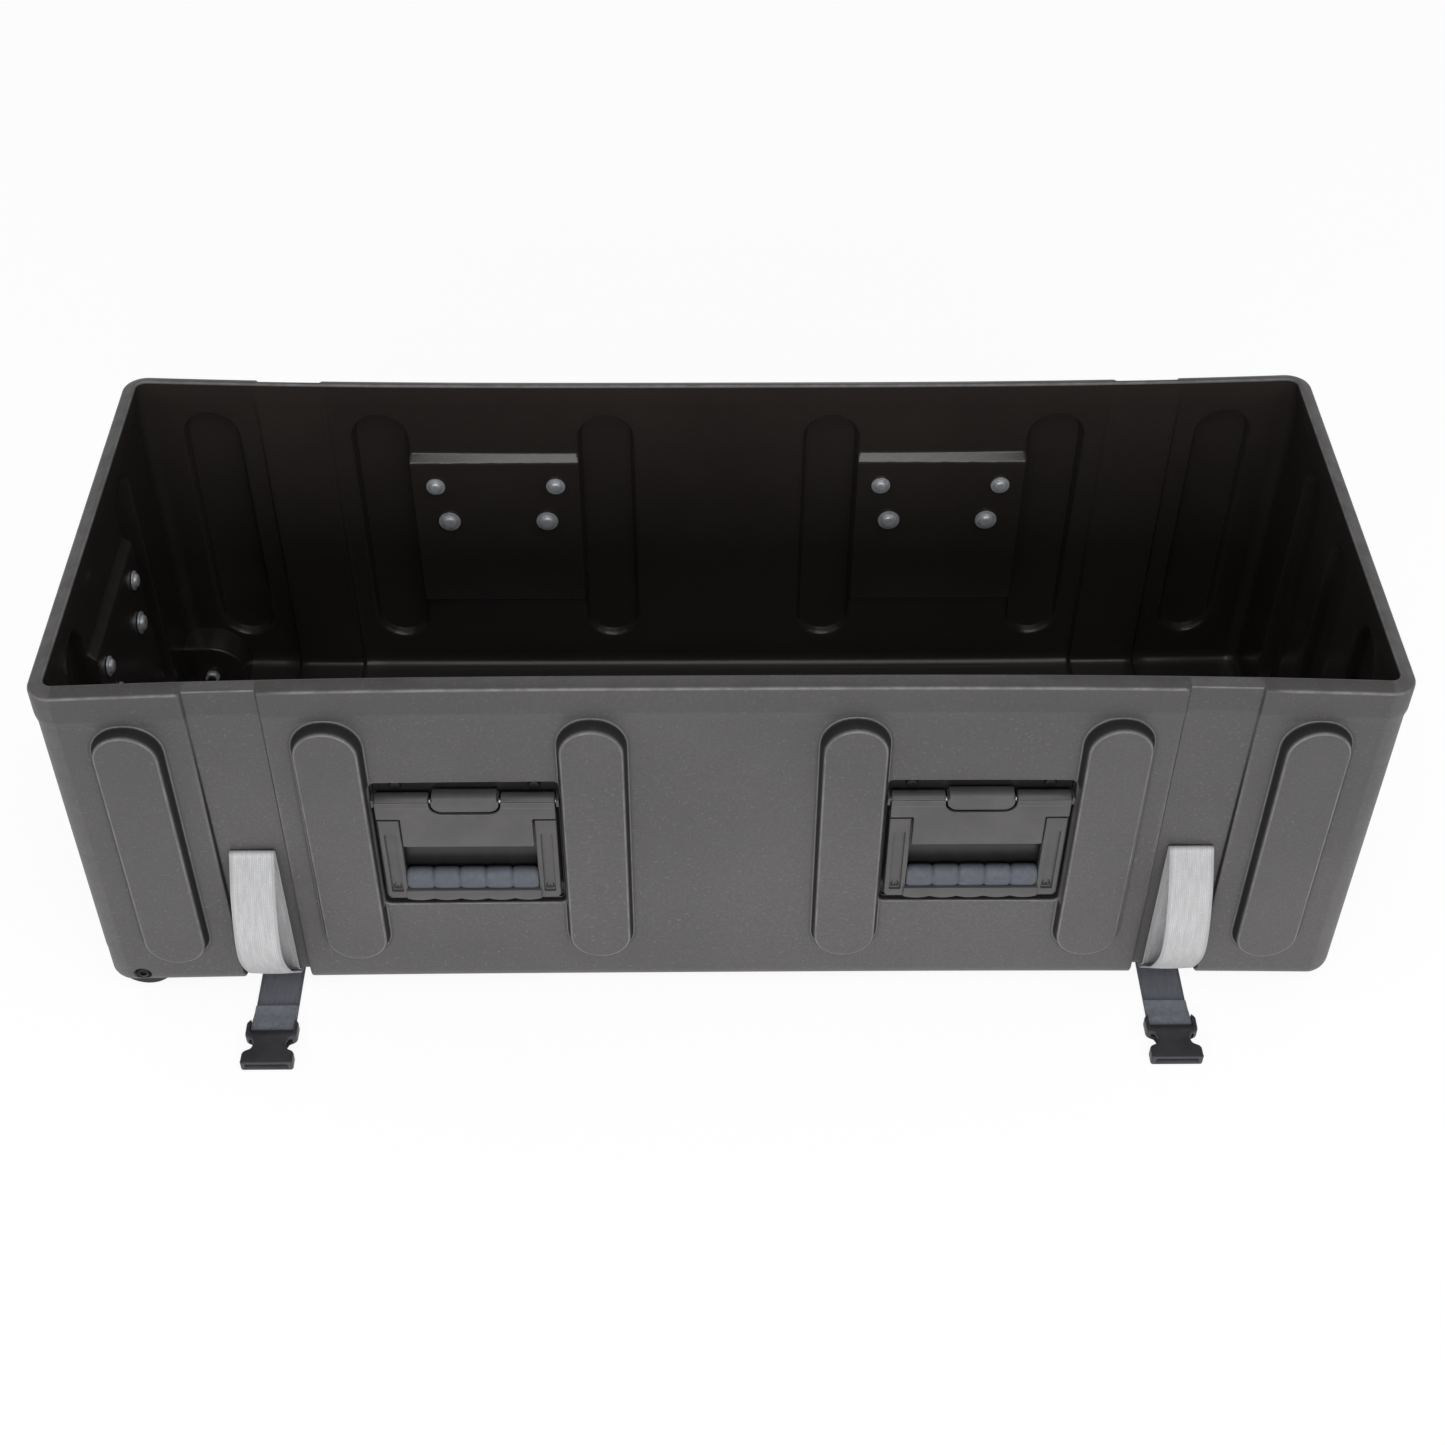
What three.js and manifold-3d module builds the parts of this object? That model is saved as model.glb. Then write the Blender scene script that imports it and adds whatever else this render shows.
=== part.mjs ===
// Open base of a rotomoulded drum hardware case: tub, sprung handles, wheels and web straps.
// Millimetres, +Z up, X along the length, front wall towards -Y, ground at Z = 0.
import * as THREE from 'three';
import { mergeVertices } from 'three/addons/utils/BufferGeometryUtils.js';
import Module from 'manifold-3d';

const wasm = await Module();
wasm.setup();

// Case body
const caseLength = 1092;
const caseWidth = 434;
const tubHeight = 356;
const rideHeight = 8;
const wallThickness = 6.5;
const floorThickness = 7;
const cornerRadius = 22;
const bottomRadius = 20;
const innerBottomRadius = 13;
const rimBow = 11;
const floorBow = 4;

// Rim band and lip
const bandHeight = 26;
const bandStep = 1.5;
const bandSlope = 8;
const lipWidth = 11;
const lipRound = 2;

// Stadium pads on the walls
const padWidthShare = 0.05174;
const padProud = 11;
const padDraft = 2.2;
const padEdge = 1.6;
const padBottom = 42;
const padTop = 323;
const padPocketInset = 2.5;
const outerPadShare = 0.4355;
const padToRecess = 0.2;
const endPadShare = 0.243;

// Strap channels
const channelShare = 0.36218;
const channelWidthShare = 0.05403;
const channelTopDepth = 1.8;
const channelBottomDepth = 8;
const channelFloorDepth = 6;
const ridgeSideWall = 4;

// Feet under the end away from the wheels
const footWidth = 50;
const footLength = 120;
const footInset = 70;
const footSpacing = 230;

// Handle recess in the wall
const handleShare = 0.19414;
const recessWidth = 155;
const recessBelowHinge = 126.5;
const recessAboveHinge = 19.5;
const recessDepth = 9.2;
const recessRadius = 5;
const recessWall = 4.3;
const recessSideWall = 3;
const ledgeRise = 27.5;
const ledgeDrop = 10;

// Handle pieces
const fitGap = 0.4;
const hingeHeight = 233;
const hingeDepth = -1.5;
const rollRadius = 7.5;
const rollLength = 148;
const bailFront = -8.6;
const panelWidth = 109;
const panelDrop = 48;
const panelThickness = 5;
const shoulderDrop = 15;
const armGap = 1.4;
const armStep = 1.6;
const armThickness = 9;
const armFootDepth = 13;
const armFootRise = 32;
const armDrop = 115;
const armRadius = 2.5;
const armGrooveWidth = 10;
const grooveTopDrop = 35;
const grooveBottomDrop = 107;
const armGrooveDepth = 2.6;
const gripSlotHeight = 7;
const barHeight = 9.2;
const barThickness = 8;
const barScallop = 1.2;
const notchWidth = 59;
const notchDrop = 9.4;
const notchRadius = 8;
const notchSkin = 2;
const knuckleReach = 10.4;
const knuckleGap = 1.6;
const knuckleSet = 1.4;
const hingePinRadius = 2;
const hingePinHole = 2.4;
const earThickness = 2.4;
const earRadius = 3.8;
const gripRadius = 10.4;
const gripFlatShare = 0.7;
const gripDrop = 95;
const gripSegments = 5;
const gripGroove = 1.5;
const gripGrooveWidth = 5;
const coreRadius = 5.4;
const dishThickness = 2.1;
const dishRim = 1.4;

// Hinge spring
const springTurns = 3;
const springRadius = 3.1;
const springWire = 0.5;
const springPitch = 2.4;
const springLeg = 18;
const springPocketHalf = 9;
const springStepsPerTurn = 8;
const springSides = 5;

// Handle bolts
const boltRadius = 2.5;
const boltHoleRadius = 2.9;
const boltHeadRadius = 5.2;
const boltHeadHeight = 2.6;
const boltWasherRadius = 7.5;
const boltWasherHeight = 1.6;
const boltDomeHeight = 2.8;
const upperBoltRise = 12;
const upperBoltOffset = 57;
const lowerBoltDrop = 30;
const lowerBoltOffset = 47;

// Wheels
const wheelRadius = 26;
const wheelWidth = 24;
const tyreInner = 17.5;
const tyreShoulder = 5;
const hubWall = 3;
const hubWeb = 7;
const hubBoss = 9;
const axleRadius = 4;
const axleHole = 4.4;
const axleFromEnd = 32;
const axleHeight = 26;
const axleHeadRadius = 6.5;
const axleHeadHeight = 5;
const axleSocketRadius = 7.6;
const axleSocketDepth = 6.2;
const wellSideWall = 9;
const wellClearance = 4;
const wellWall = 5;
const wheelSideGap = 1;
const nutRadius = 7.5;
const nutHeight = 6.5;
const axleEnd = 2;

// Straps
const webWidth = 38;
const webThickness = 1.8;
const webGap = 0.4;
const loopTop = 178;
const loopBulge = 42;
const loopBulgeHeight = 92;
const loopFoldRadius = 2.6;
const loopReturnReach = 62;
const loopFoot = 24;
const loopUnderHeight = 4.4;
const tailReach = 42;
const tailInside = 60;
const tailFold = 26;
const backTailReach = 40;
const backSlack = 46;
const loopUpperShare = 0.8;
const loopUpperBulgeShare = 0.62;
const loopLowerShare = 0.52;
const loopLowerBulgeShare = 0.74;
const loopFootBulgeShare = 0.2;
const foldEaseShare = 0.6;

// Buckles
const buckleWidth = 45.6;
const buckleWaist = 28;
const buckleBody = 42;
const buckleThickness = 11;
const buckleWall = 2;
const buckleBarHeight = 3.4;
const buckleBarDepth = 4.6;
const buckleBarGap = 4.4;
const buckleEar = 6.4;
const shoulderShare = 2.4;
const waistShare = 3.2;
const flareShare = 4.3;
const bulgeShare = 0.2;
const mouthShare = 0.67;
const plugBody = 17;
const plugProng = 27;
const plugProngInset = 5;
const plugProngWidth = 6;
const plugHook = 9;
const plugThickness = 6;
const plugTongueWidth = 9;

// Facets
const cornerSteps = 3;
const longSteps = 8;
const filletSteps = 3;
const arcSteps = 5;
const padArcSteps = 5;
const smallArcSteps = 1;
const notchArcSteps = 3;
const roundSides = 16;
const smallSides = 12;
const gripSides = 10;
const holeSides = 8;
const loopSteps = 16;
const dropSteps = 8;
const foldSteps = 8;
const overrun = 10;

// Derived places
const halfLength = caseLength / 2;
const halfWidth = caseWidth / 2;
const padWidth = caseLength * padWidthShare;
const channelCentre = caseLength * channelShare;
const channelWidth = caseLength * channelWidthShare;
const handleOffset = caseLength * handleShare;
const recessBottom = hingeHeight - recessBelowHinge;
const recessTop = hingeHeight + recessAboveHinge;
const panelBottom = hingeHeight - panelDrop;
const shoulderBottom = hingeHeight - shoulderDrop;
const armBottom = hingeHeight - armDrop;
const armGrooveTop = hingeHeight - grooveTopDrop;
const armGrooveBottom = hingeHeight - grooveBottomDrop;
const notchBottom = hingeHeight - notchDrop;
const gripHeight = hingeHeight - gripDrop;
const upperBoltHeight = hingeHeight + upperBoltRise;
const lowerBoltHeight = hingeHeight - lowerBoltDrop;
const rimHeight = rideHeight + tubHeight;
const wallInset = bandStep;
const innerInset = wallInset + wallThickness;
const plateFront = recessDepth - fitGap - dishThickness;
const gripDepth = bailFront + gripRadius * gripFlatShare;
const armInner = panelWidth / 2 + armGap;
const armOuter = rollLength / 2;
const axleX = -halfLength + axleFromEnd;
const wellOuterFace = halfWidth - wallInset - wellSideWall;
const wellInnerFace = wellOuterFace - wheelWidth - 2 * wheelSideGap;
const wheelCentreY = (wellOuterFace + wellInnerFace) / 2;
const wellRadius = wheelRadius + wellClearance;
const coilLength = springTurns * 2 * Math.PI * springRadius;
const coilShare = coilLength / (coilLength + springLeg);

const colours = {
  polyethylene: new THREE.MeshStandardMaterial({ color: 0x2b2a2b, roughness: 0.55, metalness: 0 }),
  nylon: new THREE.MeshStandardMaterial({ color: 0x29282a, roughness: 0.5, metalness: 0 }),
  rubber: new THREE.MeshStandardMaterial({ color: 0x3d4046, roughness: 0.75, metalness: 0 }),
  zinc: new THREE.MeshStandardMaterial({ color: 0xb9bcc0, roughness: 0.35, metalness: 1 }),
  springSteel: new THREE.MeshStandardMaterial({ color: 0x8a8d92, roughness: 0.4, metalness: 1 }),
  tyre: new THREE.MeshStandardMaterial({ color: 0x1c1c1d, roughness: 0.7, metalness: 0 }),
  webbing: new THREE.MeshStandardMaterial({ color: 0xb7b7b6, roughness: 0.85, metalness: 0 }),
  tailWebbing: new THREE.MeshStandardMaterial({ color: 0x5a5d66, roughness: 0.85, metalness: 0 }),
  acetal: new THREE.MeshStandardMaterial({ color: 0x2a292c, roughness: 0.5, metalness: 0 }),
};

// Joining and cutting
function toSolid(geometry) {
  const bare = geometry.index ? geometry.toNonIndexed() : geometry.clone();
  bare.deleteAttribute('normal');
  bare.deleteAttribute('uv');
  const merged = mergeVertices(bare, 1e-4);
  return new wasm.Manifold(new wasm.Mesh({
    numProp: 3,
    vertProperties: new Float32Array(merged.attributes.position.array),
    triVerts: new Uint32Array(merged.index.array),
  }));
}

function toGeometry(solid) {
  const mesh = solid.getMesh();
  const geometry = new THREE.BufferGeometry();
  geometry.setAttribute('position', new THREE.BufferAttribute(new Float32Array(mesh.vertProperties), 3));
  geometry.setIndex(new THREE.BufferAttribute(new Uint32Array(mesh.triVerts), 1));
  geometry.computeVertexNormals();
  return geometry;
}

function joined(...geometries) {
  return geometries.map(toSolid).reduce((whole, solid) => whole.add(solid));
}

function without(solid, ...geometries) {
  return geometries.map(toSolid).reduce((rest, cutter) => rest.subtract(cutter), solid);
}

function moved(geometry, matrix) {
  return geometry.clone().applyMatrix4(matrix);
}

// Basic forms
function cylinderAlong(axis, radius, start, end, sides = smallSides) {
  const geometry = new THREE.CylinderGeometry(radius, radius, end - start, sides);
  if (axis === 'x') geometry.rotateZ(-Math.PI / 2).translate((start + end) / 2, 0, 0);
  if (axis === 'y') geometry.translate(0, (start + end) / 2, 0);
  if (axis === 'z') geometry.rotateX(Math.PI / 2).translate(0, 0, (start + end) / 2);
  return geometry;
}

function block(x0, x1, y0, y1, z0, z1) {
  const geometry = new THREE.BoxGeometry(x1 - x0, y1 - y0, z1 - z0);
  return geometry.translate((x0 + x1) / 2, (y0 + y1) / 2, (z0 + z1) / 2);
}

// An outline in X and Z, given depth along Y
function slabAcross(shape, y0, y1, curveSegments = arcSteps) {
  const geometry = new THREE.ExtrudeGeometry(shape, { depth: y1 - y0, bevelEnabled: false, curveSegments });
  return geometry.rotateX(Math.PI / 2).translate(0, y1, 0);
}

// An outline in Y and Z, given length along X
function barAlong(shape, x0, x1, curveSegments = arcSteps) {
  const geometry = new THREE.ExtrudeGeometry(shape, { depth: x1 - x0, bevelEnabled: false, curveSegments });
  const turn = new THREE.Matrix4().makeBasis(
    new THREE.Vector3(0, 1, 0),
    new THREE.Vector3(0, 0, 1),
    new THREE.Vector3(1, 0, 0),
  );
  return geometry.applyMatrix4(turn).translate(x0, 0, 0);
}

// An outline in X and Y, given height along Z
function plateUpwards(shape, z0, z1, curveSegments = arcSteps) {
  const geometry = new THREE.ExtrudeGeometry(shape, { depth: z1 - z0, bevelEnabled: false, curveSegments });
  return geometry.translate(0, 0, z0);
}

function roundedRectangle(u0, u1, v0, v1, radius) {
  const shape = new THREE.Shape();
  shape.moveTo(u0 + radius, v0);
  shape.lineTo(u1 - radius, v0);
  shape.absarc(u1 - radius, v0 + radius, radius, -Math.PI / 2, 0, false);
  shape.lineTo(u1, v1 - radius);
  shape.absarc(u1 - radius, v1 - radius, radius, 0, Math.PI / 2, false);
  shape.lineTo(u0 + radius, v1);
  shape.absarc(u0 + radius, v1 - radius, radius, Math.PI / 2, Math.PI, false);
  shape.lineTo(u0, v0 + radius);
  shape.absarc(u0 + radius, v0 + radius, radius, Math.PI, 1.5 * Math.PI, false);
  return shape;
}

// A closed body through rings of equal point counts, first ring lowest
function loft(rings) {
  const count = rings[0].length;
  const positions = rings.flat().flatMap((p) => [p.x, p.y, p.z]);
  const index = [];
  for (let r = 0; r < rings.length - 1; r += 1) {
    for (let i = 0; i < count; i += 1) {
      const j = (i + 1) % count;
      const low = r * count;
      const high = low + count;
      index.push(low + i, low + j, high + j, low + i, high + j, high + i);
    }
  }
  const ends = [rings[0], rings[rings.length - 1]];
  ends.forEach((ring, end) => {
    const centre = ring.reduce((sum, p) => sum.add(p), new THREE.Vector3()).divideScalar(count);
    const centreIndex = positions.length / 3;
    const first = end === 0 ? 0 : (rings.length - 1) * count;
    positions.push(centre.x, centre.y, centre.z);
    for (let i = 0; i < count; i += 1) {
      const j = (i + 1) % count;
      if (end === 0) index.push(centreIndex, first + j, first + i);
      else index.push(centreIndex, first + i, first + j);
    }
  });
  const geometry = new THREE.BufferGeometry();
  geometry.setAttribute('position', new THREE.Float32BufferAttribute(positions, 3));
  geometry.setIndex(index);
  return geometry;
}

// The long walls bow inwards, more at the open rim than at the floor
function bowAt(x, z) {
  const along = Math.min(1, Math.abs(x) / halfLength);
  const up = Math.min(1, Math.max(0, (z - rideHeight) / tubHeight));
  return (floorBow + (rimBow - floorBow) * up) * (1 - along ** 3);
}

function bowed(geometry) {
  const position = geometry.attributes.position;
  for (let i = 0; i < position.count; i += 1) {
    const squeeze = 1 - bowAt(position.getX(i), position.getZ(i)) / halfWidth;
    position.setY(i, position.getY(i) * squeeze);
  }
  return geometry;
}

function wallFaceAt(x, z) {
  return (halfWidth - wallInset) * (1 - bowAt(x, z) / halfWidth);
}

// One ring of the tub: a rounded rectangle set in from the rim's outline
function tubRing(z, inset) {
  const radius = Math.max(cornerRadius - inset, lipRound);
  const cx = halfLength - inset - radius;
  const cy = halfWidth - inset - radius;
  const ring = [];
  const corners = [[cx, cy, 0], [-cx, cy, 1], [-cx, -cy, 2], [cx, -cy, 3]];
  corners.forEach(([x, y, quarter]) => {
    for (let i = 0; i <= cornerSteps; i += 1) {
      const angle = (quarter + i / cornerSteps) * Math.PI / 2;
      ring.push(new THREE.Vector3(x + radius * Math.cos(angle), y + radius * Math.sin(angle), z));
    }
    if (quarter % 2 === 0) {
      for (let i = 1; i < longSteps; i += 1) {
        const at = x * (1 - 2 * i / longSteps);
        ring.push(new THREE.Vector3(at, Math.sign(y) * (cy + radius), z));
      }
    }
  });
  return ring;
}

function outerBody() {
  const rings = [];
  for (let i = 0; i <= filletSteps; i += 1) {
    const angle = (i / filletSteps) * Math.PI / 2;
    const inset = wallInset + bottomRadius * (1 - Math.sin(angle));
    rings.push(tubRing(rideHeight + bottomRadius * (1 - Math.cos(angle)), inset));
  }
  rings.push(tubRing(rimHeight - bandHeight - bandSlope, wallInset));
  rings.push(tubRing(rimHeight - bandHeight, 0));
  rings.push(tubRing(rimHeight - lipRound, 0));
  rings.push(tubRing(rimHeight, lipRound));
  return bowed(loft(rings));
}

function innerHollow() {
  const floor = rideHeight + floorThickness;
  const rings = [];
  for (let i = 0; i <= filletSteps; i += 1) {
    const angle = (i / filletSteps) * Math.PI / 2;
    const inset = innerInset + innerBottomRadius * (1 - Math.sin(angle));
    rings.push(tubRing(floor + innerBottomRadius * (1 - Math.cos(angle)), inset));
  }
  rings.push(tubRing(rimHeight - bandHeight - bandSlope, innerInset));
  rings.push(tubRing(rimHeight - lipRound, lipWidth));
  rings.push(tubRing(rimHeight, lipWidth - lipRound));
  rings.push(tubRing(rimHeight + overrun, lipWidth - lipRound));
  return bowed(loft(rings));
}

// A ring of a stadium in X and Z at the depth y, smaller by inset all round
function stadiumRing(y, halfWide, bottom, top, inset) {
  const radius = halfWide - inset;
  const ring = [];
  const middles = [top - halfWide, bottom + halfWide];
  middles.forEach((z, end) => {
    for (let i = 0; i <= padArcSteps; i += 1) {
      const angle = (end + i / padArcSteps) * Math.PI;
      ring.push(new THREE.Vector3(radius * Math.cos(angle), y, z + radius * Math.sin(angle)));
    }
  });
  return ring;
}

// A pad stands out of the wall towards -Y, with its foot sunk in the wall
function wallPad(width, bottom, top, proud) {
  const half = width / 2;
  return loft([
    stadiumRing(wallThickness / 2, half, bottom, top, 0),
    stadiumRing(padEdge - proud, half, bottom, top, padDraft),
    stadiumRing(-proud, half, bottom, top, padDraft + padEdge),
  ]);
}

function padPocket() {
  const half = padWidth / 2 - padPocketInset;
  const bottom = padBottom + padPocketInset;
  const top = padTop - padPocketInset;
  return loft([
    stadiumRing(wallThickness + overrun, half, bottom, top, 0),
    stadiumRing(wallThickness - padProud, half, bottom, top, padDraft),
  ]);
}

// Places on the four walls, where local -Y points out of the wall
function wallPlace(wall, along, height) {
  const turns = { front: 0, back: Math.PI, left: -Math.PI / 2, right: Math.PI / 2 };
  const matrix = new THREE.Matrix4().makeRotationZ(turns[wall]);
  const face = wallFaceAt(along, height);
  const end = halfLength - wallInset;
  const spots = {
    front: [along, -face],
    back: [along, face],
    left: [-end, along],
    right: [end, along],
  };
  matrix.setPosition(spots[wall][0], spots[wall][1], rideHeight);
  return matrix;
}

const padCentreHeight = rideHeight + (padBottom + padTop) / 2;
const padFromHandle = (recessWidth + padWidth) / 2 + padToRecess;
const padOffsets = [outerPadShare * caseLength, handleOffset + padFromHandle, handleOffset - padFromHandle];
const longPads = padOffsets.flatMap((x) => [
  wallPlace('front', -x, padCentreHeight),
  wallPlace('front', x, padCentreHeight),
  wallPlace('back', -x, padCentreHeight),
  wallPlace('back', x, padCentreHeight),
]);
const endPads = [-1, 1].flatMap((side) => [
  wallPlace('left', side * endPadShare * caseWidth, padCentreHeight),
  wallPlace('right', side * endPadShare * caseWidth, padCentreHeight),
]);
const padPlaces = [...longPads, ...endPads, wallPlace('right', 0, padCentreHeight)];

const handlePlaces = {
  front_left: wallPlace('front', -handleOffset, rideHeight + hingeHeight),
  front_right: wallPlace('front', handleOffset, rideHeight + hingeHeight),
  back_left: wallPlace('back', -handleOffset, rideHeight + hingeHeight),
  back_right: wallPlace('back', handleOffset, rideHeight + hingeHeight),
  end: wallPlace('left', 0, rideHeight + hingeHeight),
};

// Profile of a strap channel: down the front, under the floor and up the back, deepest at the bottom
function channelShape(inset) {
  const out = halfWidth + overrun;
  const topY = halfWidth - channelTopDepth - inset;
  const lowY = halfWidth - wallInset - channelBottomDepth - inset;
  const radius = bottomRadius - channelFloorDepth;
  const floor = rideHeight + channelFloorDepth + inset;
  const shape = new THREE.Shape();
  shape.moveTo(-out, rimHeight + overrun);
  shape.lineTo(-out, rideHeight - overrun);
  shape.lineTo(out, rideHeight - overrun);
  shape.lineTo(out, rimHeight + overrun);
  shape.lineTo(topY, rimHeight + overrun);
  shape.lineTo(topY, rimHeight);
  shape.lineTo(lowY, floor + radius);
  shape.absarc(lowY - radius, floor + radius, radius, 0, -Math.PI / 2, true);
  shape.lineTo(radius - lowY, floor);
  shape.absarc(radius - lowY, floor + radius, radius, -Math.PI / 2, -Math.PI, true);
  shape.lineTo(-topY, rimHeight);
  shape.lineTo(-topY, rimHeight + overrun);
  return shape;
}

function strapChannel(side) {
  const centre = side * channelCentre;
  return bowed(barAlong(channelShape(0), centre - channelWidth / 2, centre + channelWidth / 2));
}

// The wall keeps its thickness behind the channel, as a low ridge inside
function channelRidge(side) {
  const centre = side * channelCentre;
  const half = channelWidth / 2 + ridgeSideWall;
  return bowed(barAlong(channelShape(wallThickness), centre - half, centre + half));
}

// Handle recess with its bolt holes
function recessCutters() {
  const half = recessWidth / 2;
  const seat = roundedRectangle(-half, half, recessBottom, recessTop, recessRadius);
  const holes = boltSpots().slice(0, 2).map(([x, z]) => (
    cylinderAlong('y', boltHoleRadius, 0, recessDepth + overrun, holeSides).translate(x, 0, z)
  ));
  return [slabAcross(seat, -overrun - padProud, recessDepth, smallArcSteps), ...holes];
}

// The recess stands into the tub as a low block with a sloping ledge on top
function recessBump() {
  const half = recessWidth / 2 + recessSideWall;
  const bottom = recessBottom - recessSideWall;
  const ledgeTop = recessTop + ledgeRise;
  const face = recessDepth + recessWall;
  const profile = new THREE.Shape();
  profile.moveTo(-wallThickness, bottom - ledgeDrop);
  profile.lineTo(wallThickness - fitGap, bottom - ledgeDrop);
  profile.lineTo(face, bottom);
  profile.lineTo(face, ledgeTop - ledgeDrop);
  profile.lineTo(wallThickness - fitGap, ledgeTop);
  profile.lineTo(-wallThickness, ledgeTop);
  return barAlong(profile, -half, half);
}

// Wheel well in the lower corner, open below and at the end
function wellShape(radius, reach) {
  const shape = new THREE.Shape();
  shape.moveTo(axleX + radius, -overrun);
  shape.lineTo(axleX + radius, axleHeight);
  shape.absarc(axleX, axleHeight, radius, 0, Math.PI / 2, false);
  shape.lineTo(-halfLength - reach, axleHeight + radius);
  shape.lineTo(-halfLength - reach, -overrun);
  return shape;
}

function wellCutters(side) {
  const near = Math.min(side * wellOuterFace, side * wellInnerFace);
  const far = Math.max(side * wellOuterFace, side * wellInnerFace);
  const well = slabAcross(wellShape(wellRadius, overrun), near, far);
  const wall = wallFaceAt(axleX, axleHeight);
  const socket = [side * (wall - axleSocketDepth), side * (wall + overrun)].sort((a, b) => a - b);
  const hole = [side * (wellInnerFace - wellWall - overrun), side * wall].sort((a, b) => a - b);
  return [
    well,
    cylinderAlong('y', axleSocketRadius, socket[0], socket[1], roundSides).translate(axleX, 0, axleHeight),
    cylinderAlong('y', axleHole, hole[0], hole[1]).translate(axleX, 0, axleHeight),
  ];
}

function wellBump(side) {
  const near = Math.min(side * (halfWidth + overrun), side * (wellInnerFace - wellWall));
  const far = Math.max(side * (halfWidth + overrun), side * (wellInnerFace - wellWall));
  return slabAcross(wellShape(wellRadius + wellWall, overrun), near, far);
}

function footPads() {
  const x = halfLength - footInset;
  const half = footLength / 2;
  return [-1, 1].map((side) => {
    const y = side * footSpacing / 2;
    const pad = wallPad(footWidth, -half, half, rideHeight);
    return pad.rotateX(Math.PI / 2).translate(x, y, rideHeight);
  });
}

function caseTub() {
  let outer = toSolid(outerBody());
  padPlaces.forEach((place) => {
    outer = outer.add(toSolid(moved(wallPad(padWidth, padBottom, padTop, padProud), place)));
  });
  footPads().forEach((foot) => {
    outer = outer.add(toSolid(foot));
  });
  let hollow = toSolid(innerHollow());
  padPlaces.forEach((place) => {
    hollow = hollow.add(toSolid(moved(padPocket(), place)));
  });
  Object.values(handlePlaces).forEach((place) => {
    hollow = without(hollow, moved(recessBump(), place));
  });
  hollow = without(hollow, wellBump(-1), wellBump(1), channelRidge(-1), channelRidge(1));
  let tub = outer.subtract(hollow);
  tub = without(tub, strapChannel(-1), strapChannel(1), ...wellCutters(-1), ...wellCutters(1));
  Object.values(handlePlaces).forEach((place) => {
    tub = without(tub, ...recessCutters().map((cutter) => moved(cutter, place)));
  });
  return toGeometry(tub);
}

function boltSpots() {
  return [
    [-upperBoltOffset, upperBoltHeight],
    [upperBoltOffset, upperBoltHeight],
    [-lowerBoltOffset, lowerBoltHeight],
    [lowerBoltOffset, lowerBoltHeight],
  ];
}

// Tray that lines the recess, with the hinge's ears and middle knuckle
function handleDish() {
  const half = recessWidth / 2 - fitGap;
  const bottom = recessBottom + fitGap;
  const top = recessTop - fitGap;
  const back = recessDepth - fitGap;
  const outline = roundedRectangle(-half, half, bottom, top, recessRadius);
  const tray = slabAcross(outline, 0, back, smallArcSteps);
  const inner = half - dishRim;
  const opening = roundedRectangle(-inner, inner, bottom + dishRim, top - dishRim, recessRadius - dishRim);
  const ears = [-1, 1].map((side) => {
    const ends = [side * (half - earThickness), side * half].sort((a, b) => a - b);
    return block(
      ends[0],
      ends[1],
      hingeDepth - earRadius,
      back,
      hingeHeight - earRadius,
      hingeHeight + earRadius,
    );
  });
  const pinHole = cylinderAlong('x', hingePinHole, -recessWidth, recessWidth, holeSides)
    .translate(0, hingeDepth, hingeHeight);
  const boltHoles = boltSpots().slice(0, 2).map(([x, z]) => (
    cylinderAlong('y', boltHoleRadius, 0, recessDepth + overrun, holeSides).translate(x, 0, z)
  ));
  const springOut = springRadius + springWire + fitGap;
  const springRoom = block(
    -springPocketHalf,
    springPocketHalf,
    hingeDepth - springOut,
    plateFront,
    hingeHeight - knuckleReach - overrun,
    hingeHeight + springOut,
  );
  const hollowTray = without(toSolid(tray), slabAcross(opening, -overrun, plateFront, smallArcSteps));
  const whole = [...ears, ...hingeKnuckle()].map(toSolid).reduce((sum, part) => sum.add(part), hollowTray);
  return toGeometry(without(whole, pinHole, springRoom, ...boltHoles));
}

// Middle knuckle: a flat-faced tongue held inside the circle that the handle's notch sweeps
function hingeKnuckle() {
  const half = notchWidth / 2 - knuckleGap;
  const front = bailFront + knuckleSet;
  const reach = hingeDepth - front;
  const behind = plateFront + dishThickness / 2;
  const low = notchBottom + knuckleGap;
  const face = tongueShape(half, low, hingeHeight + rollRadius, notchRadius - knuckleGap);
  const sweep = cylinderAlong('x', knuckleReach, -recessWidth, recessWidth, roundSides)
    .translate(0, hingeDepth, hingeHeight);
  const blade = toSolid(slabAcross(face, front, hingeDepth + reach, notchArcSteps));
  const tongue = blade.intersect(toSolid(sweep));
  const stem = block(
    -half + notchRadius,
    half - notchRadius,
    hingeDepth,
    behind,
    hingeHeight - reach,
    hingeHeight + reach,
  );
  return [toGeometry(tongue), stem];
}

// U-shaped outline with a flat top
function tongueShape(half, bottom, top, radius) {
  const shape = new THREE.Shape();
  shape.moveTo(-half, top);
  shape.lineTo(-half, bottom + radius);
  shape.absarc(-half + radius, bottom + radius, radius, Math.PI, 1.5 * Math.PI, false);
  shape.lineTo(half - radius, bottom);
  shape.absarc(half - radius, bottom + radius, radius, -Math.PI / 2, 0, false);
  shape.lineTo(half, top);
  return shape;
}

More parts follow.
